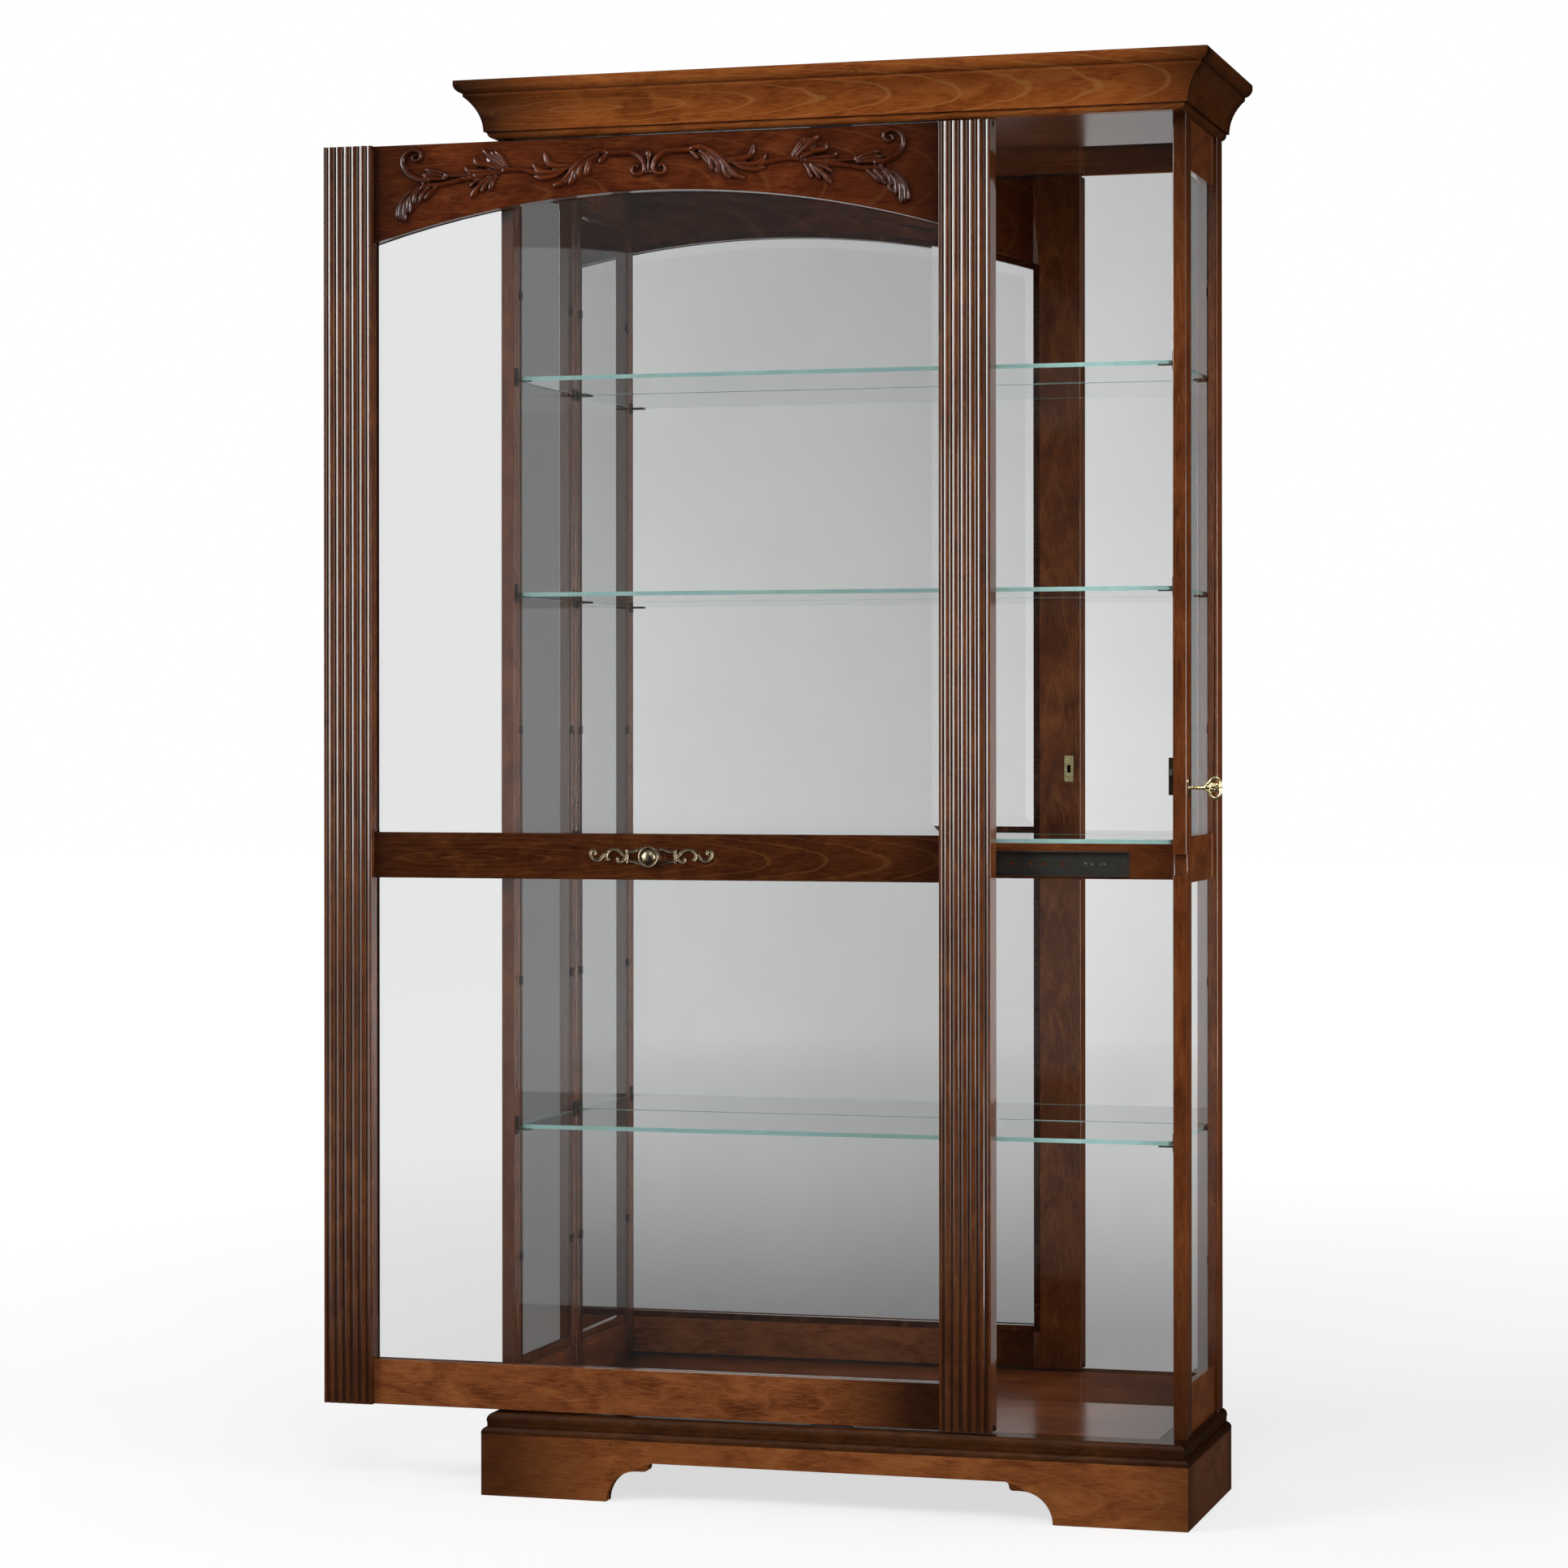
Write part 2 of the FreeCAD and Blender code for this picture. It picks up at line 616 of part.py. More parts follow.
def shelf_clips():
    """Bent metal clips, each pinned into a post with an arm under the shelf."""
    clips = []
    for side in (-1, 1):
        face = POST_IN - CLIP_T
        for z, y in clip_seats():
            y0 = y - CLIP_W / 2
            y1 = y + CLIP_W / 2
            plate = block(side * face, side * POST_IN, y0, y1, z - CLIP_DOWN, z + CLIP_UP)
            arm = block(side * (POST_IN - CLIP_ARM), side * face, y0, y1, z - CLIP_T, z)
            mouth = V(side * POST_IN, y, z + CLIP_PIN_UP)
            pin = rod(HOLE_R - CLIP_PIN_FIT, mouth, mouth + V(side * CLIP_PIN_L, 0, 0))
            clips.append(plate.fuse([arm, pin]).removeSplitter())
    save("shelf_clips", *clips)


def at_door(x):
    """A place across the door, measured from its middle."""
    return DOOR_X + x


def guide_groove():
    """The grooves along the top and bottom edges of the door."""
    half = GUIDE_T / 2 + GUIDE_GAP
    deep = GUIDE_H - DOOR_FLOAT + GUIDE_GAP
    end = DOOR_W / 2 + OVER
    found = []
    for edge, way in ((DOOR_LOW, 1), (DOOR_TOP, -1)):
        found.append(block(at_door(-end), at_door(end), GUIDE_Y - half, GUIDE_Y + half, edge - way * OVER,
                           edge + way * deep))
    return found


def door_guides():
    """A fin on the base cap and one under the top board, which the door's grooves run along."""
    half = GUIDE_L / 2
    fins = []
    for z, way in ((BASE_TOP, 1), (OPENING_TOP, -1)):
        fins.append(block(-half, half, GUIDE_Y - GUIDE_T / 2, GUIDE_Y + GUIDE_T / 2, z, z + way * GUIDE_H))
    save("door_guides", *fins)


def arch_face(lap, y):
    """The outline of the arched upper opening of the door, made larger all round by lap."""
    half = SIGHT + lap
    radius = ARCH_R + lap
    spring = ARCH_Z - ARCH_R + math.sqrt(radius * radius - half * half)
    bulge = (ARCH_Z + lap - spring) / (2 * half)
    steps = [((half, DOOR_MID_TOP - lap), 0), ((half, spring), 0), ((-half, spring), -bulge),
             ((-half, DOOR_MID_TOP - lap), 0)]
    return outline((-half, DOOR_MID_TOP - lap), steps, lambda x, z: V(at_door(x), y, z))


def arch_opening(lap, y0, y1):
    """That outline as a solid."""
    return arch_face(lap, y0).extrude(V(0, y1 - y0, 0))


def low_opening(lap, y0, y1):
    """The lower opening of the door, made larger all round by lap."""
    half = SIGHT + lap
    return block(at_door(-half), at_door(half), y0, y1, DOOR_BOTTOM_TOP - lap, DOOR_MID_Z + lap)


def door_rabbets():
    """The rabbets round both openings, cut from the back."""
    back = DOOR_BACK_Y + OVER
    return [arch_opening(DOOR_RABBET_W, PANE_Y, back), low_opening(DOOR_RABBET_W, PANE_Y, back)]


def door_levels():
    """The lowest and highest edge of each door rail at the stiles."""
    return {"bottom": (DOOR_LOW, DOOR_BOTTOM_TOP), "mid": (DOOR_MID_Z, DOOR_MID_TOP),
            "top": (SPRING_Z, DOOR_TOP)}


def door_tenons(side, grow):
    """The tenons of the door rails at one stile."""
    y0 = RAIL_Y + DOOR_TENON_SET
    found = []
    for low, high in door_levels().values():
        found.append(block(at_door(side * SIGHT), at_door(side * (SIGHT + DOOR_TENON_L + grow)), y0 - grow,
                           y0 + DOOR_TENON_T + grow, low + DOOR_TENON_SHOULDER - grow,
                           high - DOOR_TENON_SHOULDER + grow))
    return found


def door_stiles():
    """The fluted pilasters at the ends of the door."""
    pitch = (STILE_W - 2 * FLUTE_EDGE) / (FLUTES - 1)
    for name, side in (("left", -1), ("right", 1)):
        stile = block(at_door(side * SIGHT), at_door(side * DOOR_W / 2), STILE_Y, DOOR_BACK_Y,
                      DOOR_LOW, DOOR_TOP)
        cuts = door_tenons(side, JOINT_FIT) + door_rabbets() + guide_groove()
        for n in range(FLUTES):
            x = at_door(side * (SIGHT + FLUTE_EDGE + n * pitch))
            y = STILE_Y - FLUTE_R + FLUTE_DEPTH
            cuts.append(rod(FLUTE_R, V(x, y, DOOR_LOW - OVER), V(x, y, DOOR_TOP + OVER)))
        if side > 0:
            cuts += [strike_space(), strike_pocket()]
        for cut in cuts:
            stile = stile.cut(cut)
        save("door_stile_" + name, stile.removeSplitter())


def door_rails():
    """The arched top rail, the mid rail and the bottom rail, tenoned into the stiles."""
    for name, (low, high) in door_levels().items():
        rail = block(at_door(-SIGHT), at_door(SIGHT), RAIL_Y, DOOR_BACK_Y, low, high)
        for side in (-1, 1):
            for tenon in door_tenons(side, 0):
                if low < tenon.CenterOfMass.z < high:
                    rail = rail.fuse(tenon)
        cuts = door_rabbets() + guide_groove() + [arch_opening(0, RAIL_Y - OVER, DOOR_BACK_Y + OVER)]
        if name == "mid":
            cuts += [hole.translated(V(DOOR_X, 0, 0)) for hole in screw_holes(*door_screw_line())]
        for cut in cuts:
            rail = rail.cut(cut)
        save("door_" + name + "_rail", rail.removeSplitter())


def door_panes():
    """The bevelled arched pane and the plain lower pane, with the stops behind them."""
    lap = DOOR_RABBET_W - DOOR_PANE_FIT
    back = PANE_Y + DOOR_PANE_T
    upper = arch_opening(lap, PANE_Y + BEVEL_T, back)
    rims = [arch_face(lap, PANE_Y + BEVEL_T).OuterWire, arch_face(-BEVEL_W, PANE_Y).OuterWire]
    save("door_pane_upper", upper.fuse(Part.makeLoft(rims, True, True)).removeSplitter())
    save("door_pane_lower", low_opening(lap, PANE_Y, back))
    stops = []
    for opening in (arch_opening, low_opening):
        frame = opening(DOOR_RABBET_W, back, back + STOP_T)
        stops.append(frame.cut(opening(0, back - OVER, back + STOP_T + OVER)))
    save("door_glass_stops", *stops)


# The right half of the carving: each stroke is its middle line and its widest width, drawn to one scale.
# Places are measured from the middle of the rail and from the carving's own line.
CARVED_STROKES = (
    (((21, 0), (14, -6), (6, 2), (10, 15), (22, 26), (41, 31), (61, 31), (81, 25), (98, 15), (121, -5),
      (142, -18)), 8),
    (((73, 23), (86, 12), (90, -5)), 7),
    (((86, 18), (100, 7), (106, -8)), 7),
    (((98, 12), (113, -3), (120, -17)), 7),
    (((112, 6), (138, 9), (150, 15), (155, 32)), 6),
    (((118, 4), (147, -6), (172, 0)), 7),
    (((158, 3), (168, 8), (174, 17)), 5),
    (((160, -3), (186, 4), (209, 7), (242, 4), (270, 0), (309, 2)), 5),
    (((200, 8), (218, 20), (233, 38)), 8),
    (((202, 7), (230, 20), (249, 39)), 8),
    (((204, 6), (236, 15), (261, 28)), 8),
    (((210, 5), (245, 9), (278, 15)), 7),
    (((221, 5), (232, -5), (240, -20)), 6),
    (((226, 5), (242, -8), (254, -25)), 6),
    (((232, 4), (252, -10), (268, -29)), 6),
    (((303, 1), (318, 6), (339, 9)), 13),
    (((334, 0), (360, 1), (374, 12), (378, 26), (371, 38), (357, 43), (345, 38), (344, 29), (352, 26)), 7),
    (((262, 1), (298, -6), (321, -11), (343, -13), (362, -22), (376, -36), (380, -50), (375, -63)), 9),
    (((322, -12), (334, -20), (342, -31)), 7),
    (((337, -13), (348, -23), (355, -37)), 7),
    (((351, -19), (361, -31), (365, -49)), 7),
)
CARVED_BUD = (((0, 26), (0, 10), (0, -7)), 9)
CARVED_REACH = max(x for points, width in CARVED_STROKES for x, z in points)
STROKE_END = 0.35


def stroke(points, width, side):
    """One carved leaf or stem: a flat ribbon that swells in the middle and narrows at both ends."""
    size = (SIGHT - CARVING_MARGIN) / CARVED_REACH
    line = [V(at_door(side * x * size), RAIL_Y, DOOR_TOP - CARVING_DROP + z * size) for x, z in points]
    curve = Part.BSplineCurve()
    curve.interpolate(line)
    edges = ([], [])
    count = 2 * len(points)
    for n in range(count + 1):
        share = n / count
        at = curve.FirstParameter + share * (curve.LastParameter - curve.FirstParameter)
        way = curve.tangent(at)[0]
        half = size * width / 2 * (STROKE_END + (1 - STROKE_END) * math.sin(math.pi * share))
        across = V(-way.z, 0, way.x) * half
        middle = curve.value(at)
        edges[0].append(middle + across)
        edges[1].append(middle - across)
    ring = edges[0] + edges[1][::-1]
    return Part.Face(Part.makePolygon(ring + [ring[0]])).extrude(V(0, -CARVING_T, 0))


def carving():
    """The scrolling leaf carving glued to the top rail, the same on both sides of a bud."""
    pieces = [stroke(*CARVED_BUD, 1)]
    for points, width in CARVED_STROKES:
        pieces += [stroke(points, width, side) for side in (-1, 1)]
    joined = pieces[0].multiFuse(pieces[1:]).removeSplitter()
    save("door_carving", *joined.Solids)


def pull():
    """The pierced back plate and the knob on the door's mid rail."""
    z = DOOR_MID_Z + DOOR_MID_H / 2
    plate_y = RAIL_Y - PULL_PLATE_T
    middle = V(at_door(0), RAIL_Y, z)
    plate = rod(PULL_RING_R, middle, middle - V(0, PULL_PLATE_T, 0))
    half = PULL_L / 2
    reach = half - PULL_SCROLL_R
    bar = block(at_door(-reach), at_door(reach), RAIL_Y, plate_y, z - PULL_BAND / 2, z + PULL_BAND / 2)
    plate = plate.fuse(bar)
    for side in (-1, 1):
        for out in (reach, (half + PULL_SCROLL_R) / 2):
            near = V(at_door(side * out), RAIL_Y, z)
            far = near - V(0, PULL_PLATE_T, 0)
            plate = plate.fuse(rod(PULL_SCROLL_R, near, far).cut(rod(PULL_SCROLL_R - PULL_BAND, near, far)))
    save("pull_plate", plate.removeSplitter())
    face = V(middle.x, plate_y, z)
    ring = rod(PULL_RING_R, face, face - V(0, PULL_RING_H, 0))
    neck = rod(PULL_KNOB_R, face, face - V(0, PULL_KNOB_H, 0))
    save("pull_knob", ring.fuse(neck.makeFillet(PULL_KNOB_ROUND, [neck.Edges[0]])).removeSplitter())


def slide_bar(length, centre, levels):
    """A bent sheet member of the slide: parts given as (depth from, depth to, height from, height to)."""
    x0 = centre - length / 2
    solid = None
    for d0, d1, h0, h1 in levels:
        for way in ((1,) if h0 < 0 else (-1, 1)):
            part = block(x0, x0 + length, MID_RAIL_Y - d0, MID_RAIL_Y - d1,
                         SLIDE_Z + way * h0, SLIDE_Z + way * h1)
            solid = part if solid is None else solid.fuse(part)
    return solid.removeSplitter()


def ball_cage(centre, row_h, row_d, web_d):
    """A bent strip with a hole for each ball, and its two rows of balls."""
    low = row_h - CAGE_SHEET / 2
    high = row_h + CAGE_SHEET / 2
    lip = row_d + BALL_R + CAGE_SHEET
    strip = slide_bar(CAGE_L, centre, ((web_d, web_d + CAGE_SHEET, -high, high), (web_d, lip, low, high)))
    balls = []
    pitch = CAGE_L / BALLS
    for n in range(BALLS):
        x = centre - CAGE_L / 2 + (n + 0.5) * pitch
        for way in (-1, 1):
            spot = V(x, MID_RAIL_Y - row_d, SLIDE_Z + way * row_h)
            reach = V(0, 0, 2 * BALL_R)
            strip = strip.cut(rod(BALL_R + 2 * BALL_FIT, spot - reach, spot + reach))
            balls.append(Part.makeSphere(BALL_R, spot))
    return [strip] + balls


def slide():
    """The three members of the slide, the two ball cages between them and the screws."""
    depth = MID_RAIL_Y - DOOR_BACK_Y
    levels = ((0, SLIDE_SHEET, -SLIDE_HALF_H, SLIDE_HALF_H), (0, CASE_LIP, CASE_IN, SLIDE_HALF_H))
    case_bar = slide_bar(SLIDE_CASE_L, 0, levels)
    cuts = screw_holes(*case_screw_line())
    for side in (-1, 1):
        for x in SLIDE_SLOTS:
            cuts.append(block(side * x - SLIDE_SLOT_L / 2, side * x + SLIDE_SLOT_L / 2, MID_RAIL_Y + OVER,
                              MID_RAIL_Y - SLIDE_SHEET - OVER, SLIDE_Z - SLIDE_SLOT_H / 2,
                              SLIDE_Z + SLIDE_SLOT_H / 2))
    save("slide_case_member", case_bar.cut(Part.makeCompound(cuts)))
    levels = ((MIDDLE_SET, MIDDLE_SET + SLIDE_SHEET, -MIDDLE_OUT, MIDDLE_OUT),
              (MIDDLE_SET, MIDDLE_LIP, MIDDLE_IN, MIDDLE_OUT))
    save("slide_middle_member", slide_bar(SLIDE_MIDDLE_L, DOOR_X / 2, levels))
    levels = ((depth - SLIDE_SHEET, depth, -DOOR_BAR_OUT, DOOR_BAR_OUT),
              (DOOR_LIP_SET, depth, DOOR_BAR_OUT - SLIDE_SHEET, DOOR_BAR_OUT))
    door_bar = slide_bar(SLIDE_DOOR_L, DOOR_X, levels)
    holes = [hole.translated(V(DOOR_X, 0, 0)) for hole in screw_holes(*door_screw_line())]
    save("slide_door_member", door_bar.cut(Part.makeCompound(holes)))
    case_row = (CASE_IN + MIDDLE_OUT) / 2
    door_row = (MIDDLE_IN + DOOR_BAR_OUT) / 2
    case_web = (SLIDE_SHEET + MIDDLE_SET) / 2
    door_web = (MIDDLE_SET + SLIDE_SHEET + DOOR_LIP_SET - CAGE_SHEET) / 2
    row_d = (MIDDLE_SET + MIDDLE_LIP) / 2
    save("ball_cage_case", *ball_cage(DOOR_X / 4, case_row, row_d, case_web))
    save("ball_cage_door", *ball_cage(DOOR_X * 3 / 4, door_row, row_d + SLIDE_SHEET, door_web))
    rivets = []
    for side in (-1, 1):
        for x in RIVETS:
            spot = V(side * x, MID_RAIL_Y - SLIDE_SHEET, SLIDE_Z)
            rivets.append(rod(RIVET_R, spot, spot - V(0, SCREW_HEAD_H, 0)))
    save("slide_case_screws", *slide_screws(*case_screw_line()), *rivets)
    save("slide_door_screws", *[s.translated(V(DOOR_X, 0, 0)) for s in slide_screws(*door_screw_line())])


def strike_space():
    """The strike plate's room in the back of the right stile, over the bolt when the door is closed."""
    x = at_door(BOLT_X + BOLT_T / 2)
    z = BOLT_Z + BOLT_H / 2
    return block(x - STRIKE_W / 2, x + STRIKE_W / 2, DOOR_BACK_Y - STRIKE_T, DOOR_BACK_Y,
                 z - STRIKE_H / 2, z + STRIKE_H / 2)


def strike_pocket():
    """The pocket that the bolt slides into."""
    x = at_door(BOLT_X)
    play = 2 * BOLT_FIT
    return block(x - play, x + BOLT_T + play, DOOR_BACK_Y - STRIKE_POCKET, DOOR_BACK_Y + OVER,
                 BOLT_Z - play, BOLT_Z + BOLT_H + play)


def lock():
    """The lock case on the right post with its bolt, and the strike plate in the door."""
    back = LOCK_Y + LOCK_W
    shell = block(LOCK_IN, POST_IN, LOCK_Y, back, LOCK_Z, LOCK_Z + LOCK_H)
    shell = shell.cut(block(LOCK_IN + LOCK_WALL, POST_IN + OVER, LOCK_Y + LOCK_WALL, back - LOCK_WALL,
                            LOCK_Z + LOCK_WALL, LOCK_Z + LOCK_H - LOCK_WALL))
    slot = block(BOLT_X - BOLT_FIT / 2, POST_IN + OVER, LOCK_Y - OVER, LOCK_Y + LOCK_WALL + OVER,
                 BOLT_Z - BOLT_FIT / 2, BOLT_Z + BOLT_H + BOLT_FIT / 2)
    save("lock_case", shell.cut(slot))
    tip = LOCK_Y - BOLT_TIP
    bolt = block(BOLT_X, BOLT_X + BOLT_T, tip, tip + BOLT_L, BOLT_Z, BOLT_Z + BOLT_H)
    talon_y = tip + BOLT_L - BOLT_TALON_W
    talon = block(BOLT_X, BOLT_X + BOLT_T, talon_y, talon_y + BOLT_TALON_W, BOLT_Z - BOLT_TALON_H, BOLT_Z)
    save("lock_bolt", bolt.fuse(talon).removeSplitter())
    save("strike_plate", strike_space().cut(strike_pocket()))


def key_spot(x, z=0.0):
    """A place along the key, measured from its middle line."""
    return V(x, KEY_LINE_Y, KEY_Z + z)


def key_bore(x0, x1):
    """The round hole that the key turns in."""
    return rod(KEY_R + KEY_FIT, key_spot(x0), key_spot(x1))


def key():
    """The key in its keyhole, with the escutcheon round it."""
    plate_out = CASE_X + ESCUTCHEON_T
    plate = block(CASE_X, plate_out, KEY_LINE_Y - ESCUTCHEON_W / 2, KEY_LINE_Y + ESCUTCHEON_W / 2,
                  KEY_Z - ESCUTCHEON_H / 2, KEY_Z + ESCUTCHEON_H / 2)
    across = [e for e in plate.Edges if abs(e.Vertexes[0].X - e.Vertexes[1].X) > ESCUTCHEON_T / 2]
    plate = plate.makeFillet(ESCUTCHEON_ROUND, across)
    save("key_escutcheon", plate.cut(key_bore(CASE_X - OVER, plate_out + OVER)))
    bow_x = CASE_X + KEY_OUT - KEY_BOW_R
    collar_x = bow_x - 2 * KEY_BOW_R
    solid = rod(KEY_R, key_spot(BOLT_X), key_spot(plate_out + KEY_R))
    solid = solid.fuse(rod(KEY_SHANK_R, key_spot(plate_out), key_spot(bow_x)))
    solid = solid.fuse(rod(KEY_R, key_spot(collar_x), key_spot(collar_x + KEY_R)))
    loops = ((bow_x - KEY_R, KEY_BOW_R), (bow_x - KEY_R, -KEY_BOW_R), (bow_x, 0.0))
    thick = V(0, KEY_BOW_T / 2, 0)
    for x, z in loops:
        solid = solid.fuse(rod(KEY_BOW_R, key_spot(x, z) - thick, key_spot(x, z) + thick))
    for x, z in loops[:2]:
        solid = solid.cut(rod(KEY_BOW_HOLE, key_spot(x, z) - thick * 2, key_spot(x, z) + thick * 2))
    bit = block(BOLT_X, BOLT_X + BOLT_T, KEY_LINE_Y - KEY_BIT_T / 2, KEY_LINE_Y + KEY_BIT_T / 2,
                KEY_Z - KEY_BIT, KEY_Z)
    save("key", solid.fuse(bit).removeSplitter())


os.makedirs("parts", exist_ok=True)
base_boards()
base_back_rail()
base_cap()
deck()
levelling()
side_rails()
side_panes()
posts()
front_mid_rail()
mirror_and_back()
top()
shelves()
shelf_clips()
door_guides()
door_stiles()
door_rails()
door_panes()
carving()
pull()
slide()
lock()
key()
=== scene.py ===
import bmesh
import bpy
import math
from collections import Counter
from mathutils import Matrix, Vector


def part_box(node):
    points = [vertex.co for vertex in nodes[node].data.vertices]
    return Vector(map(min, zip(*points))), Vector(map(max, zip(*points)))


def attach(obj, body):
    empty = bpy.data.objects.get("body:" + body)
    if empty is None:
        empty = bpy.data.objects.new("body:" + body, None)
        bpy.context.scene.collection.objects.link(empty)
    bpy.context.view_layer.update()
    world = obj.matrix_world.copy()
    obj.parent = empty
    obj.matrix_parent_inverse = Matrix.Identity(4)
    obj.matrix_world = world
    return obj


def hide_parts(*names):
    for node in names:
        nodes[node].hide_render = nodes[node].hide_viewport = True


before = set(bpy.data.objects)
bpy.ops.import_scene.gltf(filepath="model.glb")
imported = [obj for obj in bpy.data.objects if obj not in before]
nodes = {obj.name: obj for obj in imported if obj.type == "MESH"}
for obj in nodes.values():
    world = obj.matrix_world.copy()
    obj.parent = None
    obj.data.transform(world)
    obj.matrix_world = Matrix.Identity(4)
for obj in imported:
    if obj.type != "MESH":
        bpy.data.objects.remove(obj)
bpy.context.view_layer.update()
scene = bpy.context.scene
scene.view_settings.view_transform = "Standard"

MM = 0.001

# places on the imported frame, in metres
DOOR_X = -0.2644                     # middle of the door, part way open
RAIL_FRONT = -0.318                  # front face of the door's rails
POST_SIDE = 0.504                    # right face of the posts
CEILING_JOINT = -0.1617              # where the ceiling panel meets the front board
CROWN_CORNER = (0.54725, -0.3683)    # outer right corner of each mitred moulding
CAP_CORNER = (0.515, -0.342)
CARVING_X = DOOR_X - 0.0028
CARVING_Z = 1.900                    # line that the carving is drawn from


# helpers for shaders

def linear(hexa):
    """An sRGB hex colour as linear RGBA."""
    parts = [int(hexa[i:i + 2], 16) / 255 for i in (1, 3, 5)]
    return tuple(c / 12.92 if c <= 0.04045 else ((c + 0.055) / 1.055) ** 2.4 for c in parts) + (1.0,)


def add(tree, kind, values=None, links=None, **settings):
    """Adds one shader node, with its settings, the values of its sockets and the links into it."""
    made = tree.nodes.new("ShaderNode" + kind)
    for name, value in settings.items():
        setattr(made, name, value)
    for socket, value in (values or {}).items():
        made.inputs[socket].default_value = value
    for socket, source in (links or {}).items():
        tree.links.new(source, made.inputs[socket])
    return made


def calc(tree, operation, *parts):
    """The result of one Math node over numbers and sockets."""
    numbers = {i: part for i, part in enumerate(parts) if isinstance(part, (int, float))}
    sockets = {i: part for i, part in enumerate(parts) if i not in numbers}
    return add(tree, "Math", numbers, sockets, operation=operation).outputs[0]


def product(tree, first, *others):
    """Several sockets multiplied."""
    for other in others:
        first = calc(tree, "MULTIPLY", first, other)
    return first


def scaled(tree, source, start, end, low, high):
    """Runs from low to high while the source runs from start to end, and stays there beyond them."""
    return add(tree, "MapRange", {1: start, 2: end, 3: low, 4: high}, {0: source}).outputs[0]


def tinted(tree, colour, hexa, factor):
    """A colour that turns to the hex one as the factor goes from 0 to 1."""
    return add(tree, "Mix", {7: linear(hexa)}, {0: factor, 6: colour}, data_type="RGBA").outputs[2]


def ramp(tree, source, *stops):
    """A colour ramp through (place, hex colour) stops."""
    made = add(tree, "ValToRGB", links={0: source})
    points = made.color_ramp.elements
    while len(points) < len(stops):
        points.new(0.5)
    for point, (place, hexa) in zip(points, stops):
        point.position = place
        point.color = linear(hexa)
    return made.outputs[0]


def blank(name, **values):
    """A new material with one Principled shader, and its node tree."""
    material = bpy.data.materials.new(name)
    material.use_nodes = True
    tree = material.node_tree
    tree.nodes.clear()
    shader = add(tree, "BsdfPrincipled", {k.replace("_", " "): v for k, v in values.items()})
    add(tree, "OutputMaterial", links={"Surface": shader.outputs[0]})
    return material, tree, shader


# wood

# axes of a board: along the grain, through its thickness and across its face
GRAIN = {"X": (0, 1, 2), "Y": (1, 0, 2), "Z": (2, 1, 0), "flat": (0, 2, 1)}

# sizes of the figure in metres: length along the grain and width across it
BLOTCH = (80 * MM, 32 * MM)
FIBRE = (16 * MM, 1.8 * MM)     # 0.3 mm wide on the real board, drawn wider so that it shows
BOARD = (1.0, 0.03, 0.09)       # what a board counts as for its growth lines: length, thickness, width
CORNER = (0.0, -0.02, -0.04)    # the near corner of that board, from the tree's heart
HEART_LEAN = 0.1                # the heart leans out of the board by this angle, so that the lines arch
CUT = (3.1, 0.37, 0.53)         # how far apart in the tree two boards can be cut
RING_GAP = 9 * MM
RING_SCALE = 0.314              # Blender's scale for rings 1 m apart
SPECK_GAP = 55 * MM
SEAM = (2 * MM, 3.5 * MM)       # half the width of the painted shade line at a joint, where it is full and where it ends

# colours of the growth lines, the specks and the end glaze, and of the painted shade
GROWTH_LINE = "#a06a38"
SPECK = "#1b0b06"
END_GLAZE = "#210e07"
# painted shade in corners, quirks and joints
PAINTED_SHADE = "#140704"
# painted shade on the side runs of mitred mouldings
SIDE_RUN_SHADE = "#1a0b05"


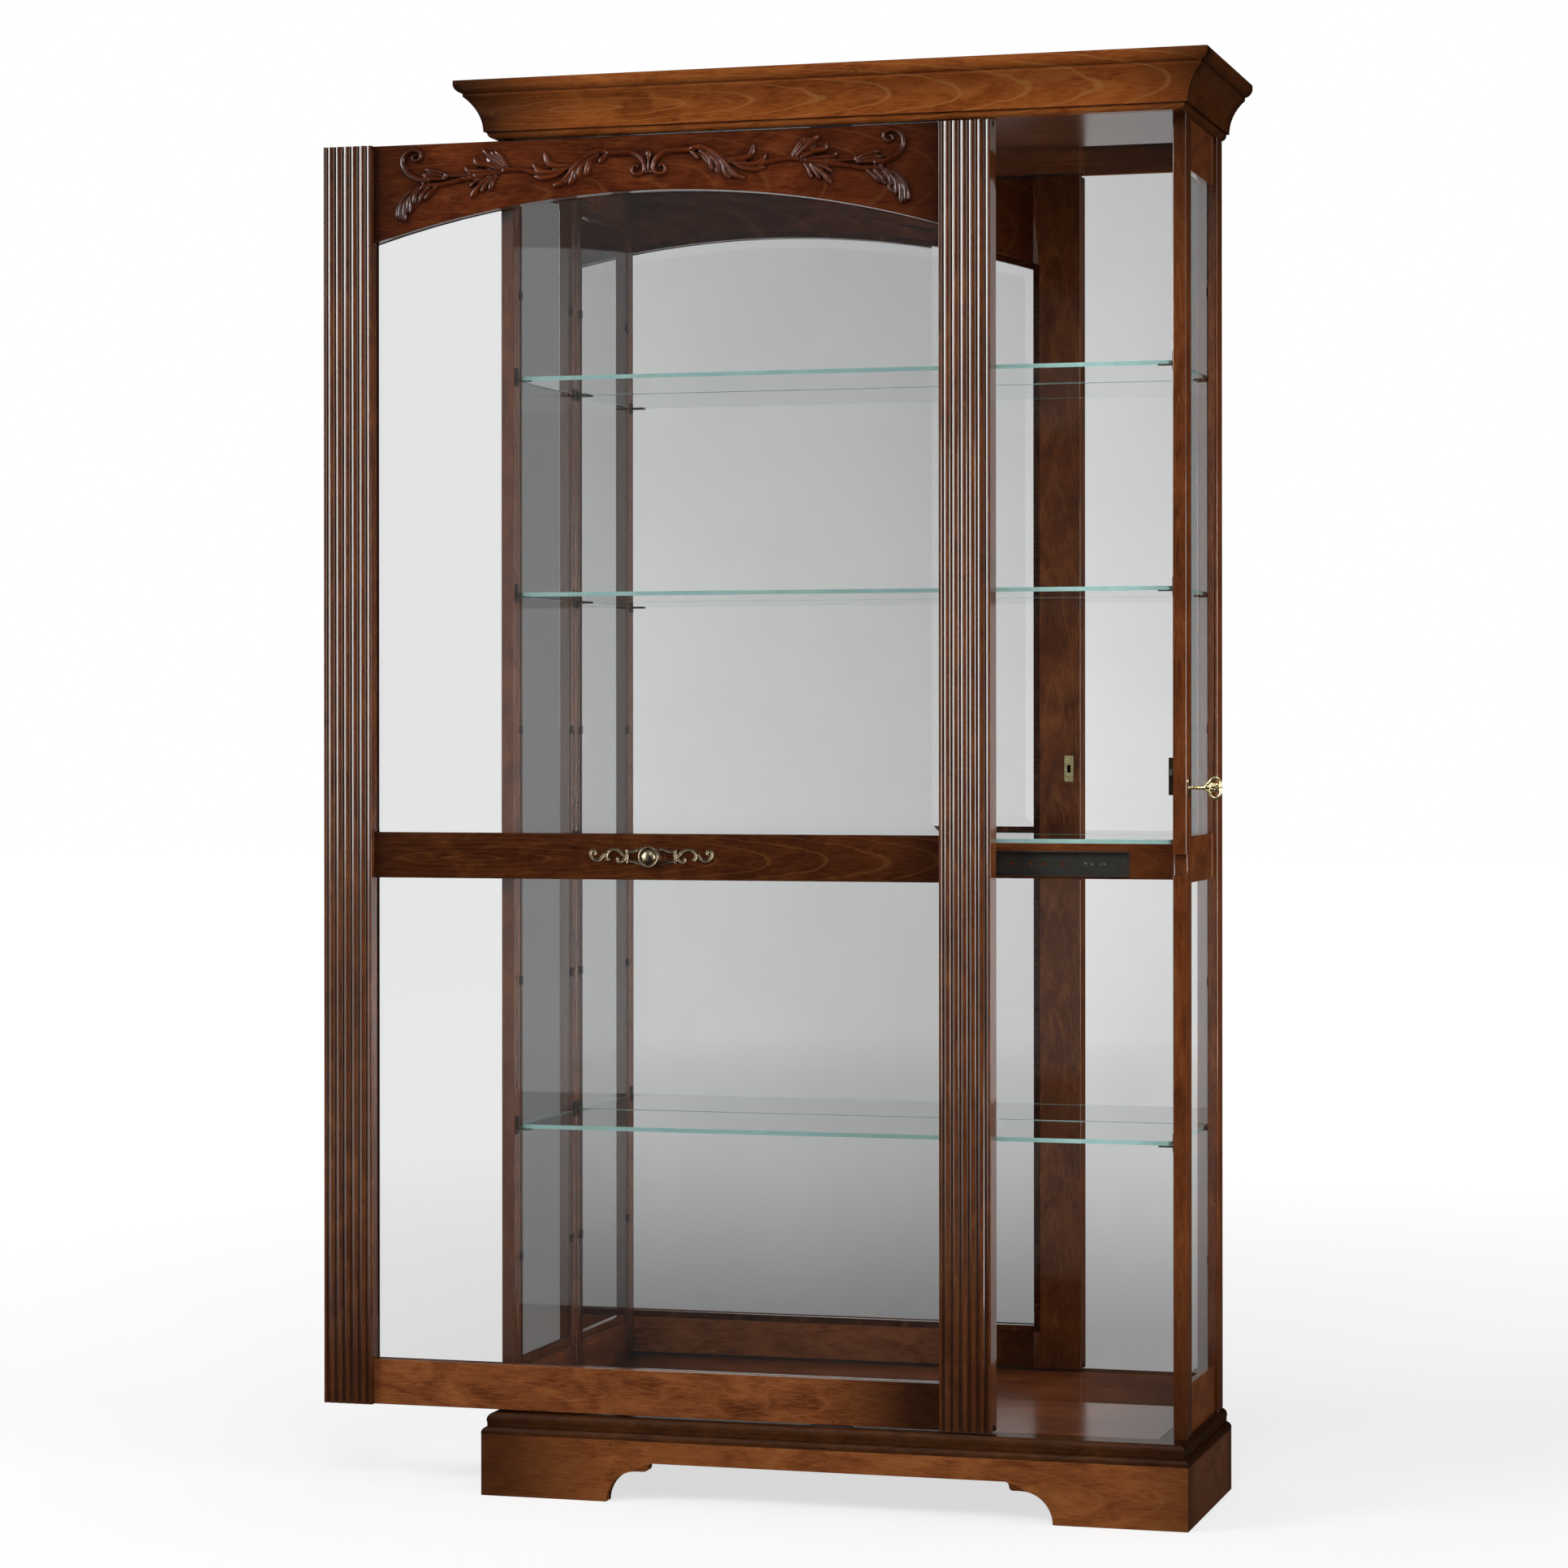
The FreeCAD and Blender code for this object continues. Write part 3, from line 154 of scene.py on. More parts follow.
def stained_cherry(name, along, deep, middle, pale, mitre=None, halo=False, shade_reach=12 * MM, shut=0.35,
                   figure=0.45, coat=1.0, polish=0.09, lean=0.0, glaze=0.75, joint=None):
    """Cherry, stained red brown, with painted shade in its corners, and lacquered: the eye gets soft
    blotches, fine fibres, pale growth lines, dark specks and a semi-gloss shine. deep, middle and pale are
    the stain's colours and mitre is the outer corner of a run that turns round the case, whose side runs
    get painted shade. shade_reach is the reach of the painted shade in corners, shut is how closed a corner
    is when that shade is full, and halo lets other pieces cast it. figure is how plainly the growth lines
    show, coat and polish are the lacquer's weight and roughness, lean moves the dark glaze of the ends (its
    depth is glaze) towards the board's near end, and joint is the Y of a joint between two boards, which
    gets a line of painted shade."""
    material, tree, shader = blank(name, Coat_Weight=coat, Coat_Roughness=polish, Specular_IOR_Level=0.0)
    place = add(tree, "TexCoord").outputs
    chance = add(tree, "ObjectInfo").outputs["Random"]
    x, y = add(tree, "SeparateXYZ", links={0: place["Object"]}).outputs[:2]
    if mitre:
        inset = calc(tree, "SUBTRACT", mitre[0], calc(tree, "ABSOLUTE", x))
        depth = calc(tree, "SUBTRACT", y, mitre[1])
        side_run = calc(tree, "LESS_THAN", inset, depth)

    def along_grain(vector):
        """The vector with the grain's axis first."""
        split = add(tree, "SeparateXYZ", links={0: vector}).outputs
        lines = add(tree, "CombineXYZ", links={i: split[a] for i, a in enumerate(GRAIN[along])}).outputs[0]
        if mitre is None:
            return lines
        side = add(tree, "CombineXYZ", links={i: split[a] for i, a in enumerate(GRAIN["Y"])}).outputs[0]
        return add(tree, "Mix", links={0: side_run, 4: lines, 5: side}, data_type="VECTOR").outputs[1]

    # each board is cut from another place in the tree
    cut = add(tree, "VectorMath", {1: CUT}, {0: chance}, operation="MULTIPLY").outputs[0]
    grain = add(tree, "VectorMath", links={0: along_grain(place["Object"]), 1: cut}).outputs[0]

    def streaks(length, width, **values):
        """Noise drawn out along the grain."""
        stretch = (1 / length, 1 / width, 1 / width)
        at = add(tree, "VectorMath", {1: stretch}, {0: grain}, operation="MULTIPLY").outputs[0]
        return add(tree, "TexNoise", {"Scale": 1.0, "Roughness": 0.6, **values}, {"Vector": at}).outputs[0]

    blotch = streaks(*BLOTCH, Detail=5.0, Distortion=0.8)
    fibre = streaks(*FIBRE, Detail=2.0)
    mixed = add(tree, "Mix", {0: 0.38}, {2: blotch, 3: fibre}).outputs[0]
    colour = ramp(tree, mixed, (0.34, deep), (0.5, middle), (0.66, pale))

    # growth lines round the tree's heart
    across_board = along_grain(place["Generated"])
    ring_at = add(tree, "Mapping", {"Location": CORNER, "Rotation": (0.0, 0.0, HEART_LEAN), "Scale": BOARD},
                  {"Vector": across_board})
    ring = add(tree, "TexWave", {"Scale": RING_SCALE / RING_GAP, "Distortion": 2.2, "Detail": 3.0,
                                 "Detail Scale": 0.5},
               {"Vector": ring_at.outputs[0]}, wave_type="RINGS", rings_direction="X")
    colour = tinted(tree, colour, GROWTH_LINE, scaled(tree, ring.outputs["Fac"], 0.95, 1.0, 0.0, figure))

    # dark specks of the distressed finish, about 3 mm across
    speck = add(tree, "TexVoronoi", {"Scale": 1 / SPECK_GAP}, {"Vector": place["Object"]})
    colour = tinted(tree, colour, SPECK, scaled(tree, speck.outputs["Distance"], 0.02, 0.035, 0.75, 0.0))

    # glaze that hangs darker at the ends of each board, with a ragged edge
    run = add(tree, "SeparateXYZ", links={0: across_board}).outputs[0]
    end = calc(tree, "ABSOLUTE", scaled(tree, run, 0.0, 1.0, -1.0 - lean, 1.0 - lean))
    ragged = calc(tree, "MULTIPLY_ADD", blotch, 0.3, end)
    colour = tinted(tree, colour, END_GLAZE, scaled(tree, ragged, 0.88, 1.19, 0.0, glaze))

    # painted shade in the corners and quirks, from ambient occlusion
    nook = add(tree, "AmbientOcclusion", {"Distance": shade_reach}, samples=16, only_local=not halo).outputs["AO"]
    closed = scaled(tree, nook, shut, 0.96, 0.9, 0.0)
    if halo:
        # painted shade cast by other pieces, such as the carving, kept to the front face
        closed = product(tree, closed, calc(tree, "LESS_THAN", y, RAIL_FRONT + 0.5 * MM))
    colour = tinted(tree, colour, PAINTED_SHADE, closed)
    if joint:
        # painted shade along the gap where the two boards meet; the same band dents the bump below
        seam = scaled(tree, calc(tree, "ABSOLUTE", calc(tree, "SUBTRACT", y, joint)), *SEAM, 0.85, 0.0)
        colour = tinted(tree, colour, PAINTED_SHADE, seam)
    if mitre:
        # painted shade on the runs along the sides, darker than the front
        colour = tinted(tree, colour, SIDE_RUN_SHADE, calc(tree, "MULTIPLY", side_run, 0.78))
    tree.links.new(colour, shader.inputs["Base Color"])

    tree.links.new(scaled(tree, fibre, 0.3, 0.7, 0.34, 0.46), shader.inputs["Roughness"])
    height = add(tree, "Bump", {"Strength": 0.12, "Distance": 0.3 * MM}, {"Height": mixed}).outputs[0]
    if joint:
        height = add(tree, "Bump", {"Strength": 1.0, "Distance": 1 * MM},
                     {"Height": seam, "Normal": height}, invert=True).outputs[0]
    tree.links.new(height, shader.inputs["Normal"])
    return material


# stains of each part: deep, middle and pale; SIDE also holds painted shade
CROWN = ("#63300f", "#87471c", "#9a5928")
POST = ("#4a2310", "#673519", "#7d4724")
BASE = ("#643418", "#874d27", "#9d6132")
# the base's sides: the base's stain darkened, as painted shade for faces that get less light
SIDE = ("#42210f", "#593219", "#6a3f22")
DOOR = ("#2e1408", "#44210e", "#5c3216")
STILE = ("#40200f", "#5e321a", "#774522")
FOOT = ("#562b13", "#804826", "#9b6034")
CAP = ("#2f180a", "#442510", "#56331a")
ARCH = ("#3d180a", "#582711", "#73391a")

cherry_x = stained_cherry("stained_cherry_lacquered_x", "X", *POST, figure=0.15)
cherry_y = stained_cherry("stained_cherry_lacquered_y", "Y", *POST, figure=0.15)
cherry_z = stained_cherry("stained_cherry_lacquered_z", "Z", *POST, shade_reach=30 * MM, figure=0.2)
cherry_satin = stained_cherry("stained_cherry_satin_flat", "flat", *POST, figure=0.08, coat=0.8, polish=0.2,
                              joint=CEILING_JOINT)
cherry_base_x = stained_cherry("stained_cherry_base_x", "X", *BASE, figure=0.25, lean=0.1)
cherry_base_y = stained_cherry("stained_cherry_base_y", "Y", *SIDE, figure=0.15)
cherry_door_x = stained_cherry("stained_cherry_door_x", "X", *DOOR, figure=0.15)
cherry_door_z = stained_cherry("stained_cherry_door_z", "Z", *STILE, shut=0.87, figure=0.12, glaze=0.5)
cherry_foot_rail = stained_cherry("stained_cherry_door_foot", "X", *FOOT, figure=0.2, lean=-0.2, glaze=0.9)
cherry_arch = stained_cherry("stained_cherry_behind_carving", "X", *ARCH, halo=True, shade_reach=42 * MM,
                             figure=0.12, glaze=1.0)
cherry_carved = stained_cherry("stained_cherry_carved", "X", *ARCH, shade_reach=7 * MM, figure=0.0, coat=0.5,
                               polish=0.13)
cherry_crown = stained_cherry("stained_cherry_crown", "X", *CROWN, mitre=CROWN_CORNER, figure=0.6,
                              coat=0.5, polish=0.2, lean=0.05, glaze=1.0)
cherry_cap = stained_cherry("stained_cherry_base_cap", "X", *CAP, mitre=CAP_CORNER, figure=0.05,
                            coat=0.5, polish=0.15)


def grained(name, first, second, size, rough, bump=0.0, **values):
    """A finish of two close colours in clouds of a given size in metres, with its roughness between two
    ends."""
    material, tree, shader = blank(name, **values)
    place = add(tree, "TexCoord").outputs["Object"]
    cloud = add(tree, "TexNoise", {"Scale": 1 / size, "Detail": 5.0, "Roughness": 0.65},
                {"Vector": place}).outputs[0]
    tree.links.new(ramp(tree, cloud, (0.35, first), (0.65, second)), shader.inputs["Base Color"])
    if rough:
        tree.links.new(scaled(tree, cloud, 0.3, 0.7, *rough), shader.inputs["Roughness"])
    if bump:
        height = add(tree, "Bump", {"Strength": bump, "Distance": size / 8}, {"Height": cloud})
        tree.links.new(height.outputs[0], shader.inputs["Normal"])
    return material


# poplar, planed and left bare: pale green brown, dull
poplar = grained("poplar_planed_bare", "#a48a63", "#bda57c", 0.03, (0.6, 0.75), 0.1)
# hardboard, pressed from brown fibre: matt, flecked at about 3 mm
hardboard = grained("hardboard_pressed", "#5c4128", "#77583a", 0.003, (0.6, 0.8), 0.15)
# brass, cast and antiqued: brown in its hollows, rubbed pale on its rims
aged_brass = grained("brass_cast_antiqued", "#5f5443", "#8c7f68", 0.004, (0.25, 0.4), 0.1, Metallic=1.0)
# brass, stamped and polished: pale gold with a clear shine
polished_brass = grained("brass_polished", "#dccb90", "#efe2b2", 0.006, (0.2, 0.3), 0.05, Metallic=1.0)
# steel, chemically bronzed: almost black brown with a dull shine
bronzed_steel = grained("steel_bronzed", "#2b241d", "#3f352b", 0.005, (0.3, 0.45), 0.05, Metallic=1.0)
# steel, rolled and electro-coated black: even, satin
black_steel = grained("steel_black_electrocoated", "#1f1d19", "#2a2722", 0.01, (0.32, 0.42), 0.05)
# steel, zinc plated: bluish grey with a bright satin shine
bright_steel = grained("steel_zinc_plated", "#aeb0b2", "#c6c8c8", 0.003, (0.2, 0.32), 0.05, Metallic=1.0)
# nylon, moulded: black, with the fine matt of its mould
nylon = grained("nylon_moulded_black", "#1b1b1c", "#26262a", 0.001, (0.42, 0.55), 0.08)


def float_glass(name):
    """Soda-lime float glass with ground edges: clear through its face, sea green along its length."""
    material, tree, shader = blank(name, Base_Color=linear("#e4e4e4"), Roughness=0.0, IOR=1.5,
                                   Specular_Tint=(0.28, 0.28, 0.28, 1.0), Transmission_Weight=1.0)
    # light passes it without being bent, so that it throws no dark shadow
    path = add(tree, "LightPath").outputs
    light = calc(tree, "MAXIMUM", path["Is Shadow Ray"], path["Is Diffuse Ray"])
    through = add(tree, "BsdfTransparent", {"Color": linear("#f7f7f7")})
    pane = add(tree, "MixShader", links={0: light, 1: shader.outputs[0], 2: through.outputs[0]})
    depth = add(tree, "VolumeAbsorption", {"Color": (0.3, 0.75, 0.66, 1.0), "Density": 2.5})
    output = tree.nodes["Material Output"]
    tree.links.new(pane.outputs[0], output.inputs["Surface"])
    tree.links.new(depth.outputs[0], output.inputs["Volume"])
    return material


clear_glass = float_glass("float_glass_polished")
# the same glass where its edge is ground: sea green, frosted, and bright because it scatters light
ground_edge = grained("float_glass_ground_edge", "#98c6c0", "#aad2cc", 0.02, (0.4, 0.5))

# glass, silvered on its back: a clear reflection, faintly clouded in broad patches
mirror_glass = grained("glass_silvered", "#eaebeb", "#f0f1f1", 0.4, None, Metallic=1.0, Roughness=0.0)


# the CAD nodes and their finishes

FINISHES = {
    cherry_x: "front_mid_rail",
    cherry_satin: "ceiling_panel deck_panel top_front_board",
    cherry_y: "side_bottom_rails side_mid_rails side_top_rails",
    cherry_z: "post_front_left post_front_right post_back_left post_back_right",
    cherry_base_x: "base_front_apron base_back_rail",
    cherry_base_y: "base_sides",
    cherry_door_x: "door_mid_rail door_glass_stops",
    cherry_door_z: "door_stile_left door_stile_right",
    cherry_foot_rail: "door_bottom_rail",
    cherry_arch: "door_top_rail",
    cherry_crown: "crown_moulding",
    cherry_cap: "base_cap_moulding",
    cherry_carved: "door_carving",
    poplar: "corner_blocks crown_back_rail",
    hardboard: "back_panel top_cover",
    clear_glass: "door_pane_upper door_pane_lower side_pane_upper_left side_pane_upper_right "
                 "side_pane_lower_left side_pane_lower_right shelf_low shelf_middle shelf_second shelf_top",
    mirror_glass: "mirror",
    aged_brass: "pull_plate pull_knob",
    polished_brass: "key key_escutcheon strike_plate",
    bronzed_steel: "shelf_clips side_pane_clips lock_case",
    black_steel: "slide_case_member slide_middle_member slide_door_member",
    bright_steel: "slide_case_screws slide_door_screws ball_cage_case ball_cage_door lock_bolt",
    nylon: "leveller_front_left leveller_front_right leveller_back_left leveller_back_right door_guides",
}
# boards with square edges, which are sanded round; the mouldings keep their cut profiles
SANDED = (cherry_x, cherry_y, cherry_z, cherry_satin, cherry_base_x, cherry_base_y, cherry_door_x,
          cherry_door_z, cherry_foot_rail, cherry_arch)
POST_EASE = 1.6 * MM
BOARD_EASE = 0.9 * MM
LONG_EDGE = 20 * MM     # edges from this length on are eased


def eased(piece, width):
    """Rounds the long edges between a CAD node's faces by a modifier, as sanding does."""
    data = piece.data
    faces_at = Counter(key for face in data.polygons for key in face.edge_keys)
    weight = data.attributes.new("bevel_weight_edge", "FLOAT", "EDGE")
    for edge, item in zip(data.edges, weight.data):
        a, b = (data.vertices[i].co for i in edge.vertices)
        item.value = float(faces_at[edge.key] == 1 and (a - b).length > LONG_EDGE)
    weld = piece.modifiers.new("weld", "WELD")
    weld.merge_threshold = 0.01 * MM
    round_over = piece.modifiers.new("eased_edges", "BEVEL")
    round_over.width = width
    round_over.segments = 3
    round_over.limit_method = "WEIGHT"
    round_over.use_clamp_overlap = False
    piece.modifiers.new("soft_normals", "WEIGHTED_NORMAL")


for finish, names in FINISHES.items():
    for name in names.split():
        piece = nodes[name]
        piece.data.materials.clear()
        piece.data.materials.append(finish)
        if finish in SANDED:
            eased(piece, POST_EASE if finish is cherry_z else BOARD_EASE)

# the edges of the shelves are ground
for name in "shelf_low shelf_middle shelf_second shelf_top".split():
    pane = nodes[name].data
    pane.materials.append(ground_edge)
    for face in pane.polygons:
        face.material_index = int(abs(face.normal.z) < 0.5)


# carved and cast work

def smooth_path(points, step):
    """Points along a smooth curve through the given ones, about one step apart, with no repeats."""
    ends = [2 * points[0] - points[1]] + list(points) + [2 * points[-1] - points[-2]]
    path = []
    for a, b, c, d in zip(ends, ends[1:], ends[2:], ends[3:]):
        count = max(2, math.ceil((c - b).length / step))
        for i in range(count):
            t = i / count
            path.append(0.5 * (2 * b + (c - a) * t + (2 * a - 5 * b + 4 * c - d) * t * t
                               + (3 * b - a - 3 * c + d) * t ** 3))
    path.append(points[-1])
    return path


def stroke(mesh, points, width, height, section, taper):
    """One carved stroke on the plane y = 0: a section of (across, up) pairs drawn along a path, its width
    and height eased by taper(t). Points are (x, z)."""
    path = smooth_path([Vector(p) for p in points], width / 4)
    rows = []
    for i, p in enumerate(path):
        run = path[min(i + 1, len(path) - 1)] - path[max(i - 1, 0)]
        side = Vector((-run.y, run.x)).normalized()
        size = taper(i / (len(path) - 1))
        row = []
        for across, up in section:
            at = p + side * across * width / 2 * size
            row.append(mesh.verts.new((at.x, -up * height * min(1.0, size ** 0.6), at.y)))
        rows.append(row)
    around = len(section)
    for first, second in zip(rows, rows[1:]):
        for i in range(around):
            j = (i + 1) % around
            mesh.faces.new((first[i], first[j], second[j], second[i]))
    mesh.faces.new(rows[0][::-1])
    mesh.faces.new(rows[-1])


HALF_ROUND = [(math.cos(math.pi * i / 8), math.sin(math.pi * i / 8)) for i in range(9)]


def leaf(t):
    """Narrow where a lobe springs, full at two thirds, with a blunt tip."""
    if t < 0.7:
        return 0.45 + 0.55 * math.sin(math.pi / 2 * t / 0.7)
    tip = (t - 0.7) / 0.3
    return max(0.2, math.sqrt(1 - 0.98 * tip * tip))


def stem(t):
    """Even, with rounded ends."""
    end = min(t, 1 - t) / 0.06
    return 1.0 if end >= 1 else 0.35 + 0.65 * math.sqrt(1 - (1 - end) ** 2)


def curl(t):
    """Thin in the eye of a scroll, full where the scroll runs out."""
    return min(1.0, 0.5 + 0.7 * t) * stem(t)


def skinned(name, mesh, voxel):
    """The strokes joined to one closed skin and smoothed, as a carver or a caster leaves them."""
    bmesh.ops.recalc_face_normals(mesh, faces=mesh.faces)
    data = bpy.data.meshes.new(name)
    mesh.to_mesh(data)
    mesh.free()
    piece = bpy.data.objects.new(name, data)
    scene.collection.objects.link(piece)
    skin = piece.modifiers.new("skin", "REMESH")
    skin.mode = "VOXEL"
    skin.voxel_size = voxel
    soft = piece.modifiers.new("soft", "SMOOTH")
    soft.factor = 0.5
    soft.iterations = 1
    deps = bpy.context.evaluated_depsgraph_get()
    made = bpy.data.meshes.new_from_object(piece.evaluated_get(deps))
    piece.modifiers.clear()
    piece.data = made
    made.name = name
    for face in made.polygons:
        face.use_smooth = True
    return piece


# strokes of the right half of the carving, in mm from its middle and its drawn line: path, width and height
SCROLLS = [
    (((18, 2), (16, 5), (19, 7), (23, 5), (25, -1), (21, -6), (13, -6), (7, -1), (7, 7), (10, 14), (16, 20),
      (26, 25), (40, 26), (54, 26), (65, 26)), 8.5, 7.5),
    (((354, 33), (358, 34), (360, 29), (353, 26), (347, 31), (348, 38), (357, 42), (367, 39), (374, 31),
      (375, 21), (369, 10), (359, 3), (346, -2), (331, -3)), 8, 7.5),
]
STEMS = [
    (((162, 1), (173, 3), (188, 6), (206, 8), (222, 6)), 7, 5.5),
    (((263, 2), (286, 2), (309, 2)), 4.5, 4.5),
    (((245, 1), (274, -3), (296, -6), (316, -10), (333, -10), (349, -14)), 6.5, 5.5),
    (((308, 7), (308, 2), (312, -3)), 7.5, 6.5),
    (((340, -5), (345, -9)), 5, 5),
    (((61, 27), (74, 29), (86, 26), (98, 19), (112, 7), (122, -5), (132, -14), (144, -18)), 8, 7.5),
    (((349, -13), (363, -19), (375, -31), (383, -45), (383, -58)), 5, 6.5),
]
LEAVES = [
    # hanging leaf at the middle
    (((60, 25), (68, 20), (75, 11)), 6.5, 6.5),
    (((75, 24), (85, 18), (92, 8), (95, -6)), 7.5, 7),
    (((87, 20), (98, 11), (104, 2), (107, -8)), 7.5, 7.5),
    (((100, 14), (111, 3), (114, -7), (121, -18)), 7.5, 7.5),
    (((112, 5), (121, -6), (127, -17)), 7, 7),
    # three small leaves beyond it
    (((115, 11), (130, 10), (144, 11), (153, 17), (157, 33)), 8, 7),
    (((118, 7), (138, 3), (159, 2), (170, 8), (175, 17)), 7, 6.5),
    (((125, 4), (140, -3), (158, -6), (174, -3)), 7, 6),
    # leaf that stands up from the stem, and the one below it
    (((212, 12), (223, 26), (233, 37)), 6.5, 6.5),
    (((214, 11), (228, 25), (240, 36)), 6, 7),
    (((219, 11), (235, 24), (252, 39)), 8, 7.5),
    (((227, 8), (245, 16), (260, 19), (264, 29)), 8, 7),
    (((231, 5), (254, 7), (273, 8), (279, 16)), 7, 6.5),
    (((225, 3), (248, 2), (270, 2)), 6, 5.5),
    (((230, 0), (237, -9), (242, -22)), 6.5, 6),
    (((240, -2), (247, -13), (255, -24)), 6, 6.5),
    (((240, -1), (253, -11), (264, -22), (270, -31)), 7.5, 7),
    (((248, -2), (263, -8), (272, -15)), 5.5, 5.5),
    # bell flower
    (((309, 5), (323, 9), (341, 13)), 6.5, 7),
    (((311, 2), (327, 4), (346, 5)), 6.5, 7),
    (((312, -2), (329, -1), (347, 0)), 6.5, 6.5),
    # hanging leaf at the end
    (((319, -11), (331, -20), (342, -32)), 6.5, 6.5),
    (((331, -11), (343, -23), (350, -36)), 7, 7),
    (((344, -13), (355, -25), (358, -39)), 7, 7),
    (((351, -15), (362, -27), (366, -39), (365, -51)), 7.5, 7.5),
    (((363, -23), (371, -37), (372, -50), (372, -63)), 7, 7.5),
    (((369, -28), (377, -40), (379, -51), (377, -61)), 7, 7.5),
]
# low ground that the lobes of each leaf grow out of
BEDS = [
    (((76, 25), (100, 9), (118, -8)), 20, 3.6),
    (((216, 9), (233, 20), (246, 27)), 24, 3.6),
    (((232, 0), (248, -9), (258, -17)), 14, 3.6),
    (((330, -14), (354, -25), (369, -46)), 18, 3.6),
]
BUD = [(((0, 12), (0, 21), (0, 28)), 10.5, 7.5), (((0, 20), (0, 6), (0, -4)), 6, 6)]
BUD_FEET = [(((0, -1), (2.5, -3), (4, -6)), 4.5, 5)]

# each kind of stroke with its taper and how much fuller than drawn it is carved
KINDS = [(SCROLLS, curl, 1.1), (STEMS, stem, 1.1), (LEAVES, leaf, 1.22), (BEDS, leaf, 1.3),
         (BUD_FEET, leaf, 1.0)]

relief = bmesh.new()
for hand in (1, -1):
    for strokes, taper, full in KINDS:
        for points, width, height in strokes:
            placed = [(CARVING_X + hand * x * MM, CARVING_Z + z * MM) for x, z in points]
            stroke(relief, placed, width * full * MM, height * MM, HALF_ROUND, taper)
for points, width, height in BUD:
    placed = [(CARVING_X + x * MM, CARVING_Z + z * MM) for x, z in points]
    stroke(relief, placed, width * MM, height * MM, HALF_ROUND, leaf)
for vertex in relief.verts:
    vertex.co.y += RAIL_FRONT
carving = skinned("carved_scrolls", relief, voxel=0.65 * MM)
carving.data.materials.append(cherry_carved)
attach(carving, "door")
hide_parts("door_carving")


# pull

# strokes of the left half of the pierced plate, in mm from its middle
PULL = [
    ((-12, 11), (-20.3, 9.9), (-25.9, 7.8), (-34.3, 7.4), (-38.5, 9.6)),
    ((-12, -10), (-20.3, -9.2), (-25.9, -6.8), (-34.3, -6.2), (-38, -8.4)),
    ((-37.5, 9), (-36, 4), (-35.7, 0.8), (-36, -3), (-37.5, -8)),
    ((-38, 2), (-42, 2), (-45.5, 6.2), (-50.4, 9.4), (-56.7, 10.5), (-62.3, 8.6), (-65.8, 4.5), (-67, -0.3),
     (-65, -4.2), (-61.8, -2.4)),
    ((-37.5, -1), (-42, -5.4), (-46.2, -7.6), (-50.2, -6), (-50.6, -2.6), (-47.6, -2.2)),
    ((-65.8, 2.5), (-70.7, 3.1), (-73.2, -1), (-77.7, -4.8), (-83.3, -5.2), (-88.6, -2), (-91, 3),
     (-89.6, 7.8), (-85.4, 8.2), (-84, 4.6), (-86.6, 3)),
]
# a bar with two raised rims and a hollow between them
RIMMED = [(1, 0), (1, 0.75), (0.8, 1), (0.5, 0.9), (0.2, 0.62), (-0.2, 0.62), (-0.5, 0.9), (-0.8, 1),
          (-1, 0.75), (-1, 0)]
PULL_BAR = (4.4 * MM, 2.6 * MM)     # width and height of a stroke
PULL_RING = (5 * MM, 2.4 * MM)
PULL_RING_R = 11 * MM


def plain(t):
    """No taper."""
    return 1.0


low, high = (Vector(c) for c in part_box("pull_plate"))
PULL_Z = (low.z + high.z) / 2
pierced = bmesh.new()
for hand in (1, -1):
    for points in PULL:
        placed = [(DOOR_X + hand * x * MM, PULL_Z + z * MM) for x, z in points]
        stroke(pierced, placed, *PULL_BAR, RIMMED, stem)
ring = [(DOOR_X + PULL_RING_R * math.cos(a), PULL_Z + PULL_RING_R * math.sin(a))
        for a in (math.tau * i / 24 for i in range(25))]
stroke(pierced, ring, *PULL_RING, RIMMED, plain)
for vertex in pierced.verts:
    vertex.co.y += RAIL_FRONT
plate = skinned("pull_scroll_plate", pierced, voxel=0.42 * MM)
plate.data.materials.append(aged_brass)
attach(plate, "door")
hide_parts("pull_plate")


def turned(name, profile, middle, axis, turns=64):
    """A piece turned on a lathe from (radius, along) pairs in mm, about a line through middle along X or
    -Y."""
    mesh = bmesh.new()
    rows = []
    for radius, along in profile:
        row = []
        for i in range(turns if radius else 1):
            a = math.tau * i / turns
            across, up = radius * math.cos(a), radius * math.sin(a)
            out = Vector((across, -along, up) if axis == "-Y" else (along, across, up))
            row.append(mesh.verts.new(middle + out * MM))
        rows.append(row)
    for first, second in zip(rows, rows[1:]):
        for i in range(turns):
            j = (i + 1) % turns
            corners = [first[i % len(first)], first[j % len(first)], second[j % len(second)],
                       second[i % len(second)]]
            mesh.faces.new(list(dict.fromkeys(corners)))
    bmesh.ops.recalc_face_normals(mesh, faces=mesh.faces)
    data = bpy.data.meshes.new(name)
    mesh.to_mesh(data)
    mesh.free()
    for face in data.polygons:
        face.use_smooth = True
    piece = bpy.data.objects.new(name, data)
    scene.collection.objects.link(piece)
    return piece


# foot, neck, flared back, rolled rim, hollow and domed button
KNOB = [(0, 2), (8.5, 2), (8.5, 3.2), (7, 4), (5.6, 5.5), (5.4, 7.5), (7, 9.5), (11, 11), (14.2, 12),
        (15.2, 13), (15.5, 14.2), (15.2, 15.4), (14.2, 16.2), (13, 15.9), (12.2, 15), (11.8, 13.8),
        (11.4, 13.6), (11, 14.2), (10.2, 15.8), (8.6, 17.3), (6.4, 18.5), (3.4, 19.4), (0, 19.7)]
knob = turned("pull_turned_knob", KNOB, Vector((DOOR_X, RAIL_FRONT, PULL_Z)), "-Y")
knob.data.materials.append(aged_brass)
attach(knob, "door")
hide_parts("pull_knob")


# key

